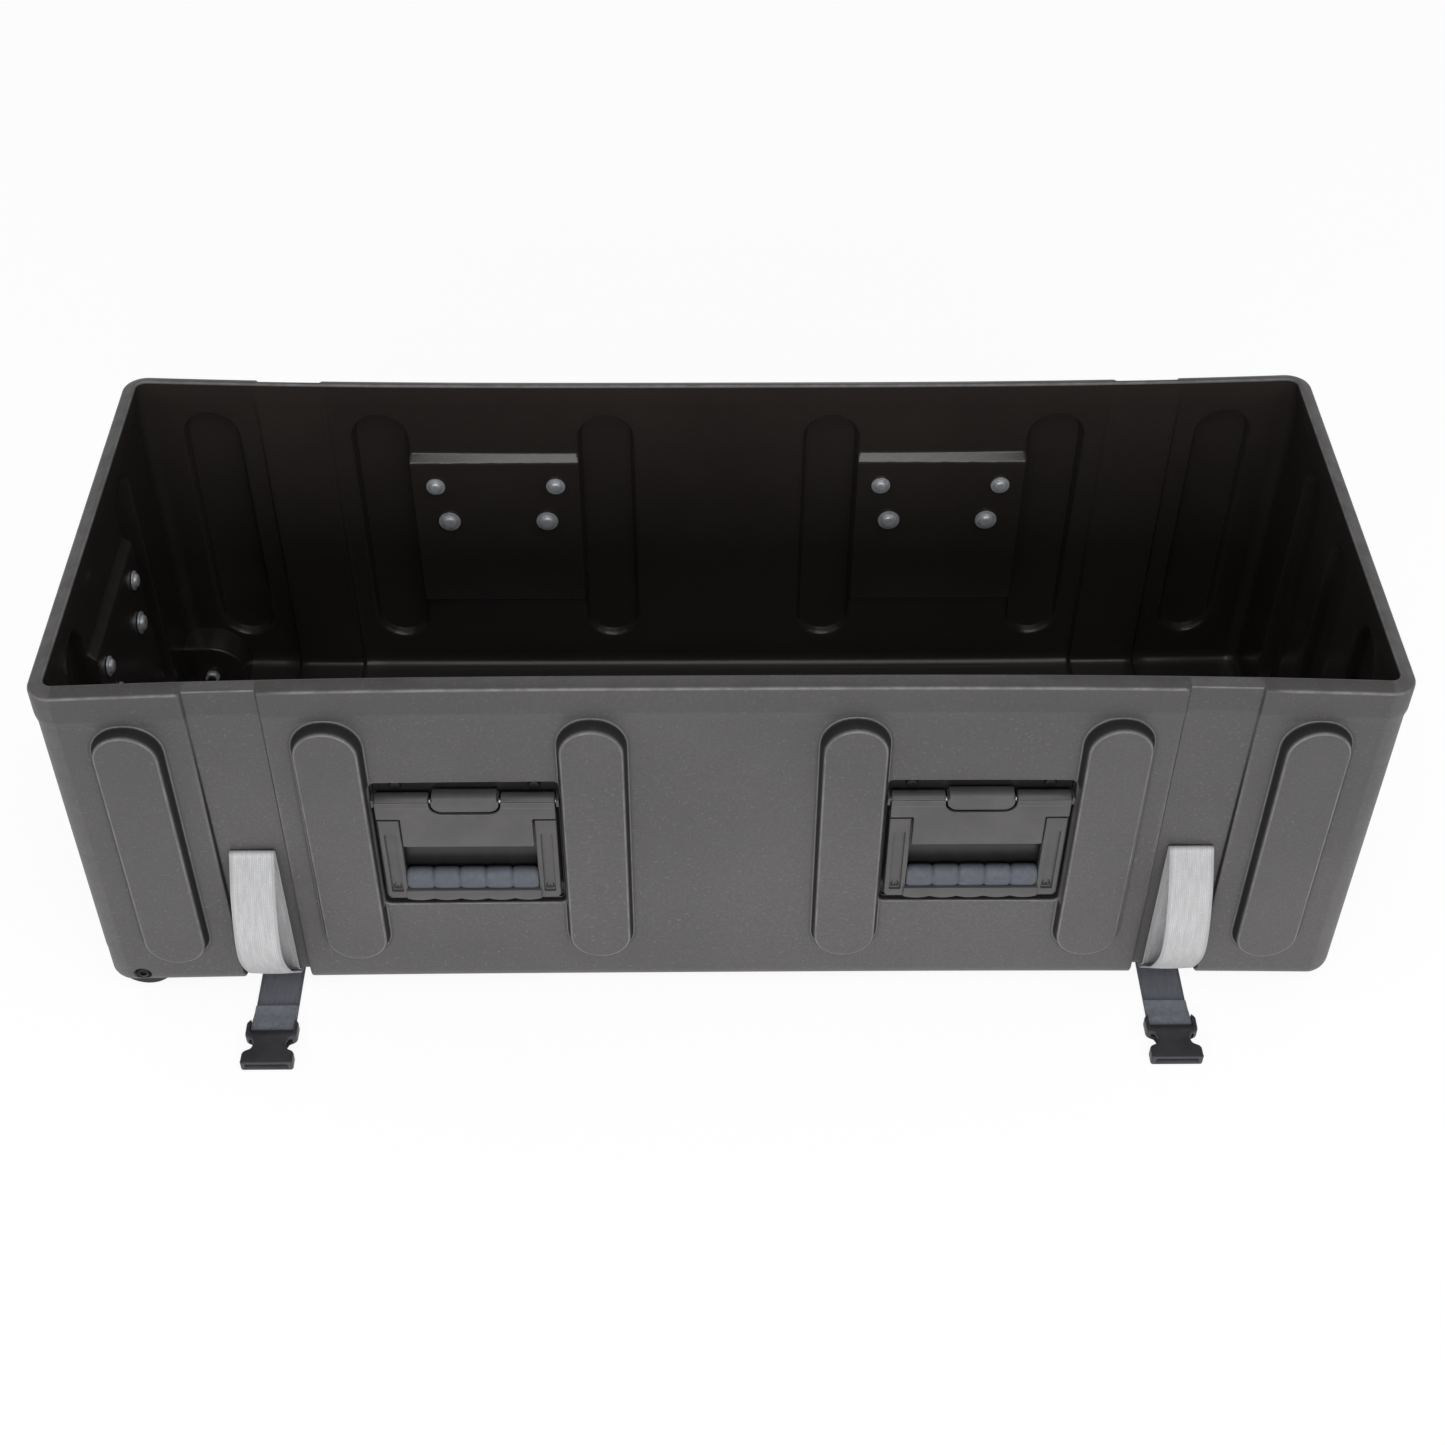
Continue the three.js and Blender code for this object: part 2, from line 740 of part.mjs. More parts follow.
// Bottom bar with one scallop under each ring of the grip
function barShape() {
  const shape = new THREE.Shape();
  const half = armInner + armStep;
  const step = 2 * half / gripSegments;
  shape.moveTo(half, armBottom + barScallop);
  shape.lineTo(half, armBottom + barHeight);
  shape.lineTo(-half, armBottom + barHeight);
  shape.lineTo(-half, armBottom + barScallop);
  for (let i = 0; i < gripSegments; i += 1) {
    const start = -half + i * step;
    shape.quadraticCurveTo(
      start + step / 2,
      armBottom - barScallop,
      start + step,
      armBottom + barScallop,
    );
  }
  return shape;
}

function handleBail() {
  const half = rollLength / 2;
  const front = bailFront;
  const behind = front + panelThickness;
  const roll = cylinderAlong('x', rollRadius, -half, half).translate(0, hingeDepth, hingeHeight);
  const panel = block(-panelWidth / 2, panelWidth / 2, front, behind, panelBottom, hingeHeight);
  const shoulders = block(-half, half, front, behind, shoulderBottom, hingeHeight);
  const pieces = [roll, panel, shoulders, slabAcross(barShape(), front, front + barThickness, smallArcSteps)];
  const notch = tongueShape(notchWidth / 2, notchBottom, hingeHeight + overrun, notchRadius);
  const cutters = [
    slabAcross(notch, -overrun, recessDepth + overrun, notchArcSteps),
    block(
      -notchWidth / 2 + fitGap,
      notchWidth / 2 - fitGap,
      front + notchSkin,
      recessDepth,
      hingeHeight - knuckleReach - knuckleGap,
      hingeHeight + overrun,
    ),
    cylinderAlong('x', hingePinHole, -recessWidth, recessWidth, holeSides)
      .translate(0, hingeDepth, hingeHeight),
  ];
  [-1, 1].forEach((side) => {
    const ends = [side * armInner, side * armOuter].sort((a, b) => a - b);
    const middle = (ends[0] + ends[1]) / 2;
    const armFront = front + armStep;
    const armTop = shoulderBottom + armStep;
    const groove = armGrooveWidth / 2;
    const outline = roundedRectangle(ends[0], ends[1], armBottom, armTop, armRadius);
    const foot = roundedRectangle(ends[0], ends[1], armBottom, armBottom + armFootRise, armRadius);
    pieces.push(slabAcross(outline, armFront, front + armThickness, 1));
    pieces.push(slabAcross(foot, front + armStep, front + armFootDepth, 1));
    cutters.push(block(
      middle - groove,
      middle + groove,
      -overrun,
      armFront + armGrooveDepth,
      armGrooveBottom,
      armGrooveTop,
    ));
    cutters.push(block(
      middle - groove + armStep,
      middle + groove - armStep,
      -overrun,
      armFront + 2 * armGrooveDepth,
      armGrooveBottom,
      armGrooveBottom + gripSlotHeight,
    ));
  });
  pieces.push(ovalAlong(coreRadius, armInner + armStep));
  return toGeometry(without(joined(...pieces), ...cutters));
}

// Oval core that the grip sits on
function ovalAlong(radius, half) {
  return cylinderAlong('x', radius, -half, half)
    .scale(1, gripFlatShare, 1)
    .translate(0, gripDepth, gripHeight);
}

// Ribbed rubber sleeve on the core
function handleGrip() {
  const half = armInner - fitGap;
  const step = 2 * half / gripSegments;
  const bore = coreRadius + fitGap / gripFlatShare;
  const profile = [new THREE.Vector2(bore, -half)];
  for (let i = 0; i < gripSegments; i += 1) {
    const start = -half + i * step;
    const end = start + step;
    const bevel = gripGrooveWidth / 2;
    profile.push(new THREE.Vector2(gripRadius - gripGroove, start));
    profile.push(new THREE.Vector2(gripRadius, start + bevel));
    profile.push(new THREE.Vector2(gripRadius, end - bevel));
  }
  profile.push(new THREE.Vector2(gripRadius - gripGroove, half));
  profile.push(new THREE.Vector2(bore, half));
  profile.push(profile[0].clone());
  const sleeve = new THREE.LatheGeometry(profile, gripSides);
  return sleeve.rotateZ(-Math.PI / 2).scale(1, gripFlatShare, 1).translate(0, gripDepth, gripHeight);
}

function hingePin() {
  const half = recessWidth / 2 - fitGap;
  return cylinderAlong('x', hingePinRadius, -half, half, holeSides).translate(0, hingeDepth, hingeHeight);
}

// Torsion spring round the pin, with one leg down the plate
class SpringCurve extends THREE.Curve {
  getPoint(t, target = new THREE.Vector3()) {
    const coil = springTurns * springPitch;
    const along = t * (coilLength + springLeg);
    if (along < coilLength) {
      const angle = (along / coilLength) * springTurns * 2 * Math.PI;
      const x = (along / coilLength - 1 / 2) * coil;
      return target.set(
        x,
        hingeDepth + springRadius * Math.cos(angle),
        hingeHeight - springRadius * Math.sin(angle),
      );
    }
    return target.set(coil / 2, hingeDepth + springRadius, hingeHeight - (along - coilLength));
  }
}

// One unbroken tube of few sides along the spring's curve
function hingeSpring() {
  const curve = new SpringCurve();
  const steps = springTurns * springStepsPerTurn + 2;
  const rings = [];
  for (let i = 0; i <= steps; i += 1) {
    const inCoil = i <= steps - 2;
    const t = inCoil ? coilShare * i / (steps - 2) : coilShare + (1 - coilShare) * (i - steps + 2) / 2;
    const centre = curve.getPoint(t);
    const out = inCoil
      ? new THREE.Vector3(0, centre.y - hingeDepth, centre.z - hingeHeight).normalize()
      : new THREE.Vector3(0, 1, 0);
    const ring = [];
    for (let s = 0; s < springSides; s += 1) {
      const angle = (s / springSides) * 2 * Math.PI;
      const point = centre.clone().addScaledVector(out, springWire * Math.cos(angle));
      point.x += springWire * Math.sin(angle);
      ring.push(point);
    }
    rings.push(ring);
  }
  return loft(rings);
}

// Least gap between neighbouring turns
function springLeastGap() {
  const curve = new SpringCurve();
  const samples = springTurns * springStepsPerTurn;
  const points = [];
  for (let i = 0; i <= samples; i += 1) points.push(curve.getPoint(coilShare * i / samples));
  let least = Infinity;
  points.forEach((a, i) => points.forEach((b, j) => {
    if (j - i > springStepsPerTurn / 2) least = Math.min(least, a.distanceTo(b));
  }));
  return least - 2 * springWire;
}
console.log('least gap between spring turns, mm:', springLeastGap().toFixed(2));

// Bolt through the plate and the wall, with its washer and domed nut inside the tub
function handleBolt() {
  const headStart = plateFront - fitGap - boltHeadHeight;
  const inside = recessDepth + recessWall + fitGap;
  const points = [
    [0, headStart],
    [boltHeadRadius / 2, headStart],
    [boltHeadRadius, headStart + boltHeadHeight],
    [boltRadius, headStart + boltHeadHeight],
    [boltRadius, inside],
    [boltWasherRadius, inside],
    [boltWasherRadius, inside + boltWasherHeight],
    [0, inside + boltWasherHeight + boltDomeHeight],
  ];
  const profile = points.map(([r, y]) => new THREE.Vector2(r, y));
  return new THREE.LatheGeometry(profile, holeSides);
}

// Wheel pieces, turned about Y
function lathed(points, sides = roundSides) {
  return new THREE.LatheGeometry(points.map(([r, y]) => new THREE.Vector2(r, y)), sides);
}

function wheelTyre() {
  const half = wheelWidth / 2;
  const middle = tyreShoulder / 3;
  return lathed([
    [tyreInner, -half + middle],
    [wheelRadius - tyreShoulder, -half],
    [wheelRadius - middle, -half + middle],
    [wheelRadius, -half + tyreShoulder],
    [wheelRadius, half - tyreShoulder],
    [wheelRadius - middle, half - middle],
    [wheelRadius - tyreShoulder, half],
    [tyreInner, half - middle],
    [tyreInner, -half + middle],
  ]);
}

function wheelHub() {
  const half = wheelWidth / 2;
  const rim = tyreInner - fitGap;
  const web = hubWeb / 2;
  const edge = half - tyreShoulder / 2;
  return lathed([
    [axleHole, -half],
    [hubBoss, -half],
    [hubBoss, -web],
    [rim - hubWall, -web],
    [rim - hubWall / 2, -edge],
    [rim, -edge],
    [rim, edge],
    [rim - hubWall / 2, edge],
    [rim - hubWall, web],
    [hubBoss, web],
    [hubBoss, half],
    [axleHole, half],
    [axleHole, -half],
  ]);
}

// Axle bolt: head in the side wall's socket, shank through both walls of the well
function wheelAxle(wall) {
  const headBack = wall - axleSocketDepth + fitGap;
  const tip = wellInnerFace - wellWall - fitGap - nutHeight - axleEnd;
  return lathed([
    [0, tip],
    [axleRadius, tip],
    [axleRadius, headBack],
    [axleHeadRadius, headBack],
    [axleHeadRadius, headBack + axleHeadHeight / 2],
    [axleHeadRadius / 2, headBack + axleHeadHeight],
    [0, headBack + axleHeadHeight],
  ], smallSides);
}

function wheelNut() {
  const nut = new THREE.CylinderGeometry(nutRadius, nutRadius, nutHeight, 6);
  const hole = new THREE.CylinderGeometry(axleHole, axleHole, nutHeight + overrun, smallSides);
  return toGeometry(without(toSolid(nut), hole));
}

// A strip of webbing: a path in Y and Z given thickness and width
function webStrip(path, centreX, width = webWidth) {
  const half = webThickness / 2;
  const left = [];
  const right = [];
  path.forEach((point, i) => {
    const before = path[Math.max(0, i - 1)];
    const after = path[Math.min(path.length - 1, i + 1)];
    const tangent = after.clone().sub(before).normalize();
    const normal = new THREE.Vector2(-tangent.y, tangent.x);
    left.push(point.clone().addScaledVector(normal, half));
    right.push(point.clone().addScaledVector(normal, -half));
  });
  const shape = new THREE.Shape([...left, ...right.reverse()]);
  return barAlong(shape, centreX - width / 2, centreX + width / 2);
}

function smoothPath(points, count) {
  const curve = new THREE.SplineCurve(points);
  return curve.getSpacedPoints(count);
}

function arcPath(cy, cz, radius, from, to, steps) {
  const points = [];
  for (let i = 0; i <= steps; i += 1) {
    const angle = from + (to - from) * i / steps;
    points.push(new THREE.Vector2(cy + radius * Math.cos(angle), cz + radius * Math.sin(angle)));
  }
  return points;
}

// The strap: slack loop in the front channel, run under the floor, tail behind the case
function strapRun(side) {
  const x = side * channelCentre;
  const half = webThickness / 2;
  const squeeze = 1 - bowAt(x, rideHeight) / halfWidth;
  const lowY = (halfWidth - wallInset - channelBottomDepth) * squeeze;
  const upY = (halfWidth - channelTopDepth) * (1 - bowAt(x, rimHeight) / halfWidth);
  const climb = (loopTop - rideHeight) / tubHeight;
  const topY = lowY + (upY - lowY) * climb;
  const radius = bottomRadius - channelFloorDepth + webGap + half;
  const under = rideHeight + channelFloorDepth - webGap - half;
  const cornerZ = under + radius;
  const faceLow = lowY + webGap + half;
  const faceTop = topY + webGap + half;
  const foldCentre = faceTop + loopFoldRadius;
  const outerLayer = smoothPath([
    new THREE.Vector2(-foldCentre - loopFoldRadius, loopTop),
    new THREE.Vector2(-foldCentre - loopBulge * loopUpperBulgeShare, loopTop * loopUpperShare),
    new THREE.Vector2(-foldCentre - loopBulge, loopBulgeHeight),
    new THREE.Vector2(-foldCentre - loopBulge * loopLowerBulgeShare, loopBulgeHeight * loopLowerShare),
    new THREE.Vector2(-foldCentre - loopBulge * loopFootBulgeShare, loopFoot),
    new THREE.Vector2(-lowY + radius, loopUnderHeight),
    new THREE.Vector2(-lowY + loopReturnReach, loopUnderHeight),
  ], loopSteps);
  const path = [
    ...outerLayer.reverse(),
    ...arcPath(-foldCentre, loopTop, loopFoldRadius, Math.PI, 0, foldSteps).slice(1),
    new THREE.Vector2(-faceLow, cornerZ),
    ...arcPath(radius - faceLow, cornerZ, radius, Math.PI, 1.5 * Math.PI, arcSteps).slice(1),
    new THREE.Vector2(faceLow - radius - backSlack, under),
    ...backTailPath(faceLow - radius, under),
    ...foldPath(halfWidth + backTailReach),
  ];
  return webStrip(path, x);
}

// The strap drops from the channel to the ground behind the case
function backTailPath(from, under) {
  const ground = webThickness / 2;
  const end = halfWidth;
  const drop = new THREE.CubicBezierCurve(
    new THREE.Vector2(from - backSlack / 2, under),
    new THREE.Vector2((from + end) / 2, under),
    new THREE.Vector2((from + end) / 2, ground),
    new THREE.Vector2(end, ground),
  );
  return drop.getPoints(dropSteps);
}

// Along the ground, round a buckle's bar and back over it, in the direction of +Y
function foldPath(barY) {
  const ground = webThickness / 2;
  const turnY = barY + buckleBarDepth / 2 - webGap;
  const barZ = webThickness + webGap + buckleBarHeight / 2;
  const lower = ground + webThickness + webGap;
  return [
    ...arcPath(turnY, barZ, barZ - ground, -Math.PI / 2, Math.PI / 2, foldSteps),
    new THREE.Vector2(barY - buckleBarDepth, 2 * barZ - ground),
    new THREE.Vector2(barY - tailFold * foldEaseShare, lower + webThickness / 2),
    new THREE.Vector2(barY - tailFold, lower),
  ];
}

// The socket's tail: out from under the case and round the bar, flat on the ground
function strapTail(side) {
  const path = [
    new THREE.Vector2(halfWidth - tailInside, webThickness / 2),
    ...foldPath(halfWidth + tailReach),
  ].map((point) => new THREE.Vector2(-point.x, point.y));
  return webStrip(path, side * channelCentre);
}

// Outline of the socket half: ears at the bar, waist, and wide mouth
function socketShape() {
  const half = buckleWidth / 2;
  const waist = buckleWaist / 2;
  const ear = buckleEar;
  const shape = new THREE.Shape();
  shape.moveTo(-half + ear / 2, ear);
  shape.lineTo(-half, ear / 2);
  shape.lineTo(-half, -ear / 2);
  shape.quadraticCurveTo(-half, -ear * shoulderShare, -waist, -ear * waistShare);
  shape.quadraticCurveTo(-waist + ear * bulgeShare, -ear * flareShare, -half, -buckleBody * mouthShare);
  shape.lineTo(-half, -buckleBody);
  shape.lineTo(half, -buckleBody);
  shape.lineTo(half, -buckleBody * mouthShare);
  shape.quadraticCurveTo(waist - ear * bulgeShare, -ear * flareShare, waist, -ear * waistShare);
  shape.quadraticCurveTo(half, -ear * shoulderShare, half, -ear / 2);
  shape.lineTo(half, ear / 2);
  shape.lineTo(half - ear / 2, ear);
  return shape;
}

// Room for the webbing round a buckle's bar, with the bar's middle at Y = 0 and the tail towards +Y
function barCuts() {
  const half = webWidth / 2 + webGap;
  const bar = buckleBarDepth / 2;
  const barTop = webThickness + webGap + buckleBarHeight;
  return [
    block(-half, half, -bar - buckleBarGap, -bar, -overrun, buckleThickness + overrun),
    block(-half, half, bar, overrun, -overrun, buckleThickness + overrun),
    block(-half, half, -bar - webGap, overrun, barTop, buckleThickness + overrun),
    block(-half, half, -bar - webGap, overrun, -overrun, webThickness + webGap),
  ];
}

function buckleSocket(side) {
  const body = plateUpwards(socketShape(), 0, buckleThickness, notchArcSteps);
  const inside = buckleWidth / 2 - buckleWall - buckleBarGap / 2;
  const mouth = block(
    -inside,
    inside,
    -buckleBody - overrun,
    -buckleEar - buckleBarGap,
    buckleWall,
    buckleThickness - buckleWall,
  );
  const solid = without(toSolid(body), mouth, ...barCuts());
  return toGeometry(solid).translate(side * channelCentre, -halfWidth - tailReach, 0);
}

// Outline of the plug half: body at the bar, middle tongue and two sprung prongs with hooked cheeks
function plugShape() {
  const half = buckleWidth / 2;
  const root = half - plugProngInset;
  const inner = root - plugProngWidth;
  const neck = plugTongueWidth / 2;
  const base = -plugBody;
  const tip = -plugBody - plugProng;
  const shape = new THREE.Shape();
  shape.moveTo(half, buckleEar);
  shape.lineTo(-half, buckleEar);
  shape.lineTo(-half, base);
  shape.lineTo(-root, base);
  shape.quadraticCurveTo(-root + plugProngWidth / 2, (base + tip) / 2, -half + buckleWall, tip + plugHook);
  shape.quadraticCurveTo(-half + buckleWall, tip, -root + plugProngWidth / 2, tip);
  shape.lineTo(-inner, tip + plugHook);
  shape.lineTo(-inner + plugProngWidth / 2, base);
  shape.lineTo(-neck, base);
  shape.lineTo(-neck / 2, tip + plugHook);
  shape.lineTo(neck / 2, tip + plugHook);
  shape.lineTo(neck, base);
  shape.lineTo(inner - plugProngWidth / 2, base);
  shape.lineTo(inner, tip + plugHook);
  shape.lineTo(root - plugProngWidth / 2, tip);
  shape.quadraticCurveTo(half - buckleWall, tip, half - buckleWall, tip + plugHook);
  shape.quadraticCurveTo(root - plugProngWidth / 2, (base + tip) / 2, root, base);
  shape.lineTo(half, base);
  return shape;
}

function bucklePlug(side) {
  const body = plateUpwards(plugShape(), 0, buckleThickness, notchArcSteps);
  const reach = plugBody + plugProng + overrun;
  const prongLow = (buckleThickness - plugThickness) / 2;
  const prongHigh = buckleThickness - prongLow;
  const thinning = [
    block(-buckleWidth, buckleWidth, -reach, -plugBody, -overrun, prongLow),
    block(-buckleWidth, buckleWidth, -reach, -plugBody, prongHigh, buckleThickness + overrun),
  ];
  const solid = without(toSolid(body), ...thinning, ...barCuts());
  return toGeometry(solid).rotateZ(Math.PI).translate(side * channelCentre, halfWidth + backTailReach, 0);
}

const hardwareCase = new THREE.Group();

function add(name, geometry, material, parent = hardwareCase) {
  const mesh = new THREE.Mesh(geometry, material);
  mesh.name = name;
  parent.add(mesh);
  return mesh;
}

add('case_tub', caseTub(), colours.polyethylene);

Object.entries(handlePlaces).forEach(([name, place]) => {
  const group = new THREE.Group();
  group.applyMatrix4(place);
  hardwareCase.add(group);
  add(`handle_dish_${name}`, handleDish(), colours.nylon, group);
  add(`handle_bail_${name}`, handleBail(), colours.nylon, group);
  add(`handle_grip_${name}`, handleGrip(), colours.rubber, group);
  add(`handle_pin_${name}`, hingePin(), colours.zinc, group);
  add(`handle_spring_${name}`, hingeSpring(), colours.springSteel, group);
  boltSpots().slice(0, 2).forEach(([x, z], i) => {
    const bolt = add(`handle_bolt_${name}_${i + 1}`, handleBolt(), colours.zinc, group);
    bolt.position.set(x, 0, z);
  });
});

[['front', -1], ['back', 1]].forEach(([name, side]) => {
  const group = new THREE.Group();
  group.position.set(axleX, 0, axleHeight);
  if (side < 0) group.rotation.z = Math.PI;
  hardwareCase.add(group);
  add(`wheel_tyre_${name}`, wheelTyre(), colours.tyre, group).position.y = wheelCentreY;
  add(`wheel_hub_${name}`, wheelHub(), colours.nylon, group).position.y = wheelCentreY;
  add(`wheel_axle_${name}`, wheelAxle(wallFaceAt(axleX, axleHeight)), colours.zinc, group);
  const nut = add(`wheel_nut_${name}`, wheelNut(), colours.zinc, group);
  nut.position.y = wellInnerFace - wellWall - fitGap - nutHeight / 2;
});

[['left', -1], ['right', 1]].forEach(([name, side]) => {
  add(`strap_${name}`, strapRun(side), colours.webbing);
  add(`strap_tail_${name}`, strapTail(side), colours.tailWebbing);
  add(`buckle_socket_${name}`, buckleSocket(side), colours.acetal);
  add(`buckle_plug_${name}`, bucklePlug(side), colours.acetal);
});

export default hardwareCase;
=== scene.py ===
"""Open base of a moulded drum hardware case, dressed for rendering.

The tub is one sheet laid out on its perimeter and its section, with the pads, channels and
handle recesses raised or sunk in it. Handles, wheels, straps and buckles are modelled one by
one. Lengths in the code are millimetres, and a mesh is made in metres.
"""

import math

import bmesh
import bpy
import numpy as np
from mathutils import Matrix, Vector
from mathutils.geometry import delaunay_2d_cdt


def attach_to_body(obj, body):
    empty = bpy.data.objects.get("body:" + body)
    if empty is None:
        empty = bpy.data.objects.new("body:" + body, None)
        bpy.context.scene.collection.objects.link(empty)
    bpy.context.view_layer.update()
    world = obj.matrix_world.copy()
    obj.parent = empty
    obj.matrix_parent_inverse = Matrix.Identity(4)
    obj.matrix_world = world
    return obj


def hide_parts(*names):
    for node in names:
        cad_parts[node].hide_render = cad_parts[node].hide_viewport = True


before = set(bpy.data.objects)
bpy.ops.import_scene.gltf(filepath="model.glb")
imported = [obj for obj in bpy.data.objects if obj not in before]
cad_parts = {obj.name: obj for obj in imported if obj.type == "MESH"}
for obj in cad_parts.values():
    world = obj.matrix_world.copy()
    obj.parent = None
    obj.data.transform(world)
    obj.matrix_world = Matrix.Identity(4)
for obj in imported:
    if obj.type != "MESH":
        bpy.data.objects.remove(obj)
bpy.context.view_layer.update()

bl_info = {
    "name": "Drum hardware case",
    "version": (1, 0, 0),
    "blender": (4, 5, 0),
    "location": "View3D > Sidebar > Hardware case",
    "description": "Dresses the moulded tub, sprung handles, wheels, straps and buckles of an open case",
    "category": "Object",
}

MM = 0.001
WHITE = (1.0, 1.0, 1.0, 1.0)
HANDLES = ("front_left", "front_right", "back_left", "back_right", "end")
SIDES = (("left", -1), ("right", 1))
WHEELS = (("front", -1), ("back", 1))
LONG_WALLS = ("front", "back")

# Tub
HALF_LENGTH = 546.0
HALF_WIDTH = 217.0
CORNER = 22.0
GROUND_GAP = 8.0
FLOOR_TOP = 15.0
RIM = 364.0
WALL_INSET = 1.5
INNER_INSET = 8.0
LIP_INSET = 13.0
LIP_ROUND = 2.6
LIP_RISE = 4.0
LIP_HIGHLIGHT_WIDTH = 4.2
FILLET_TOP = 28.0
BOTTOM_ROUND = 20.0
INNER_ROUND = 13.0
FLOOR_BOW = 4.0
RIM_BOW = 11.0
BAND_FOOT = 329.0
BAND_EDGE = 339.0
BAND_SOFT = 1.6
CREASE = 40.0

# Pads, recesses and feet: an outline is its half width, low end and high end
PAD = (28.25, 50.0, 331.0)
PAD_CENTRE = 190.5
POCKET = (25.75, 52.5, 328.5)
POCKET_DEPTH = 4.5
HANDLE_X = 212.0
HINGE_Z = 233.0
RECESS_HALF = 77.5
RECESS_LOW = 106.5
RECESS_HIGH = 252.5
RECESS = (RECESS_HALF, RECESS_LOW + GROUND_GAP, RECESS_HIGH + GROUND_GAP)
RECESS_DEPTH = 9.2
RECESS_ROUND = 5.0
BUMP_DEPTH = 13.5
BUMP_INNER = (79.0, 104.0, 269.0)
BUMP_OUTER = (82.0, 92.0, 281.5)
FOOT_X = 476.0
FOOT_Y = 115.0
FOOT = (25.0, -60.0, 60.0)

# Strap channels outside and their ridges inside
CHANNEL_X = 395.5
CHANNEL_HALF = 29.5
CHANNEL_ROUND = 14.0
CHANNEL_LOW = 207.5
CHANNEL_HIGH = 213.0
CHANNEL_LIFT = 6.0
RIDGE_HALF = 33.5
RIDGE_ROUND = 7.5
RIDGE_LIFT = 5.5

# Wheel wells
AXLE = (-514.0, 26.0)
WELL_RADIUS = 30.0
WELL_WALL = 5.0
WELL_FACES = (180.5, 206.5)

# How far each soft step has gone at a distance inside its outline
PAD_STEP = (
    (-4.5, 0.0), (-1.6, 0.0), (-0.7, 0.02), (0.0, 0.09), (0.5, 0.22), (2.0, 0.78), (2.6, 0.9),
    (3.4, 0.975), (4.6, 1.0), (8.0, 1.0),
)
POCKET_STEP = ((-3.5, 0.0), (-1.5, 0.04), (0.0, 0.2), (1.5, 0.62), (3.0, 0.92), (5.0, 1.0))
CHANNEL_STEP = (
    (-4.0, 0.0), (-1.3, 0.0), (-0.5, 0.07), (0.2, 0.35), (0.9, 0.8), (1.6, 0.96), (2.4, 1.0), (5.0, 1.0),
)
RIDGE_STEP = ((-2.5, 0.0), (-0.8, 0.1), (0.8, 0.55), (2.2, 0.93), (3.6, 1.0))
RECESS_STEP = (
    (-3.5, 0.0), (-1.5, 0.0), (-0.8, 0.015), (-0.2, 0.07), (0.05, 0.18), (0.25, 1.0), (2.0, 1.0),
)
FOOT_STEP = ((-1.5, 0.0), (0.0, 0.12), (1.2, 0.7), (2.4, 0.95), (4.0, 1.0))
GROOVES = ((CHANNEL_STEP, CHANNEL_HALF), (RIDGE_STEP, RIDGE_HALF))

# How far the block behind a recess has gone, at a share of its slope
BUMP_STEP = ((0.0, 1.0), (0.12, 0.975), (0.28, 0.86), (0.72, 0.14), (0.88, 0.025), (1.0, 0.0))

# Painted highlight above 0 and painted shade below 0, at a distance inside an outline or at a share of a
# slope
PAD_PAINTED_LIGHT = (
    (-4.5, 0.0), (-1.6, -0.35), (-0.7, 0.75), (0.0, -0.6), (0.5, -1.0), (2.0, -0.6), (2.6, 0.5),
    (3.4, 1.0), (4.6, 0.0),
)
CHANNEL_PAINTED_LIGHT = ((-4.0, 0.0), (-1.3, 0.35), (-0.5, 0.7), (0.2, -0.8), (0.9, -0.8), (1.6, 0.0))
# How strongly the channels' painted light shows at each height
CHANNEL_PAINTED_FADE = ((230.0, 1.0), (BAND_FOOT, 0.25))
RECESS_PAINTED_LIGHT = ((-1.5, 0.0), (-0.8, 1.0), (-0.2, 0.3), (0.05, -0.75), (2.0, -0.75))
EDGE_HIGHLIGHT = (1.0, 0.8)
TOP_HIGHLIGHT = (0.18, 0.42)
CORNER_HIGHLIGHT = 0.25
BUMP_HIGHLIGHT = ((0.6, 0.0), (0.86, 1.0), (0.975, 1.0), (1.0, 0.0))


def step_at(table, place):
    """A table's value at a place between its rows."""
    return np.interp(place, [row[0] for row in table], [row[1] for row in table])


# Node trees
class Tree:
    """A node tree in the making."""

    def node(self, kind, sockets=None, **settings):
        """A new node's outputs, after its settings and then its sockets' values or links."""
        node = self.tree.nodes.new(kind)
        for key, value in settings.items():
            setattr(node, key, value)
        for key, value in (sockets or {}).items():
            value = value.socket if isinstance(value, Shade) else value
            if isinstance(value, bpy.types.NodeSocket):
                self.tree.links.new(value, node.inputs[key])
            else:
                node.inputs[key].default_value = value
        return node.outputs

    def shade(self, kind, output, sockets=None, **settings):
        return Shade(self, self.node(kind, sockets, **settings)[output])


class Shade:
    """One value, colour or vector in a finish, with arithmetic."""

    def __init__(self, finish, socket):
        self.finish, self.socket = finish, socket

    def work_out(self, operation, *numbers):
        return self.finish.shade("ShaderNodeMath", 0, dict(enumerate(numbers)), operation=operation)

    def __add__(self, other):
        return self.work_out("ADD", self, other)

    def __sub__(self, other):
        return self.work_out("SUBTRACT", self, other)

    def __rsub__(self, other):
        return self.work_out("SUBTRACT", other, self)

    def __mul__(self, other):
        return self.work_out("MULTIPLY", self, other)

    __radd__, __rmul__ = __add__, __mul__

    def sine(self):
        return self.work_out("SINE", self)

    def between(self, low, high, start=0.0, end=1.0):
        """A soft step from start to end as this value goes from low to high."""
        sockets = {"Value": self, "From Min": low, "From Max": high, "To Min": start, "To Max": end}
        return self.finish.shade("ShaderNodeMapRange", 0, sockets, interpolation_type="SMOOTHSTEP")


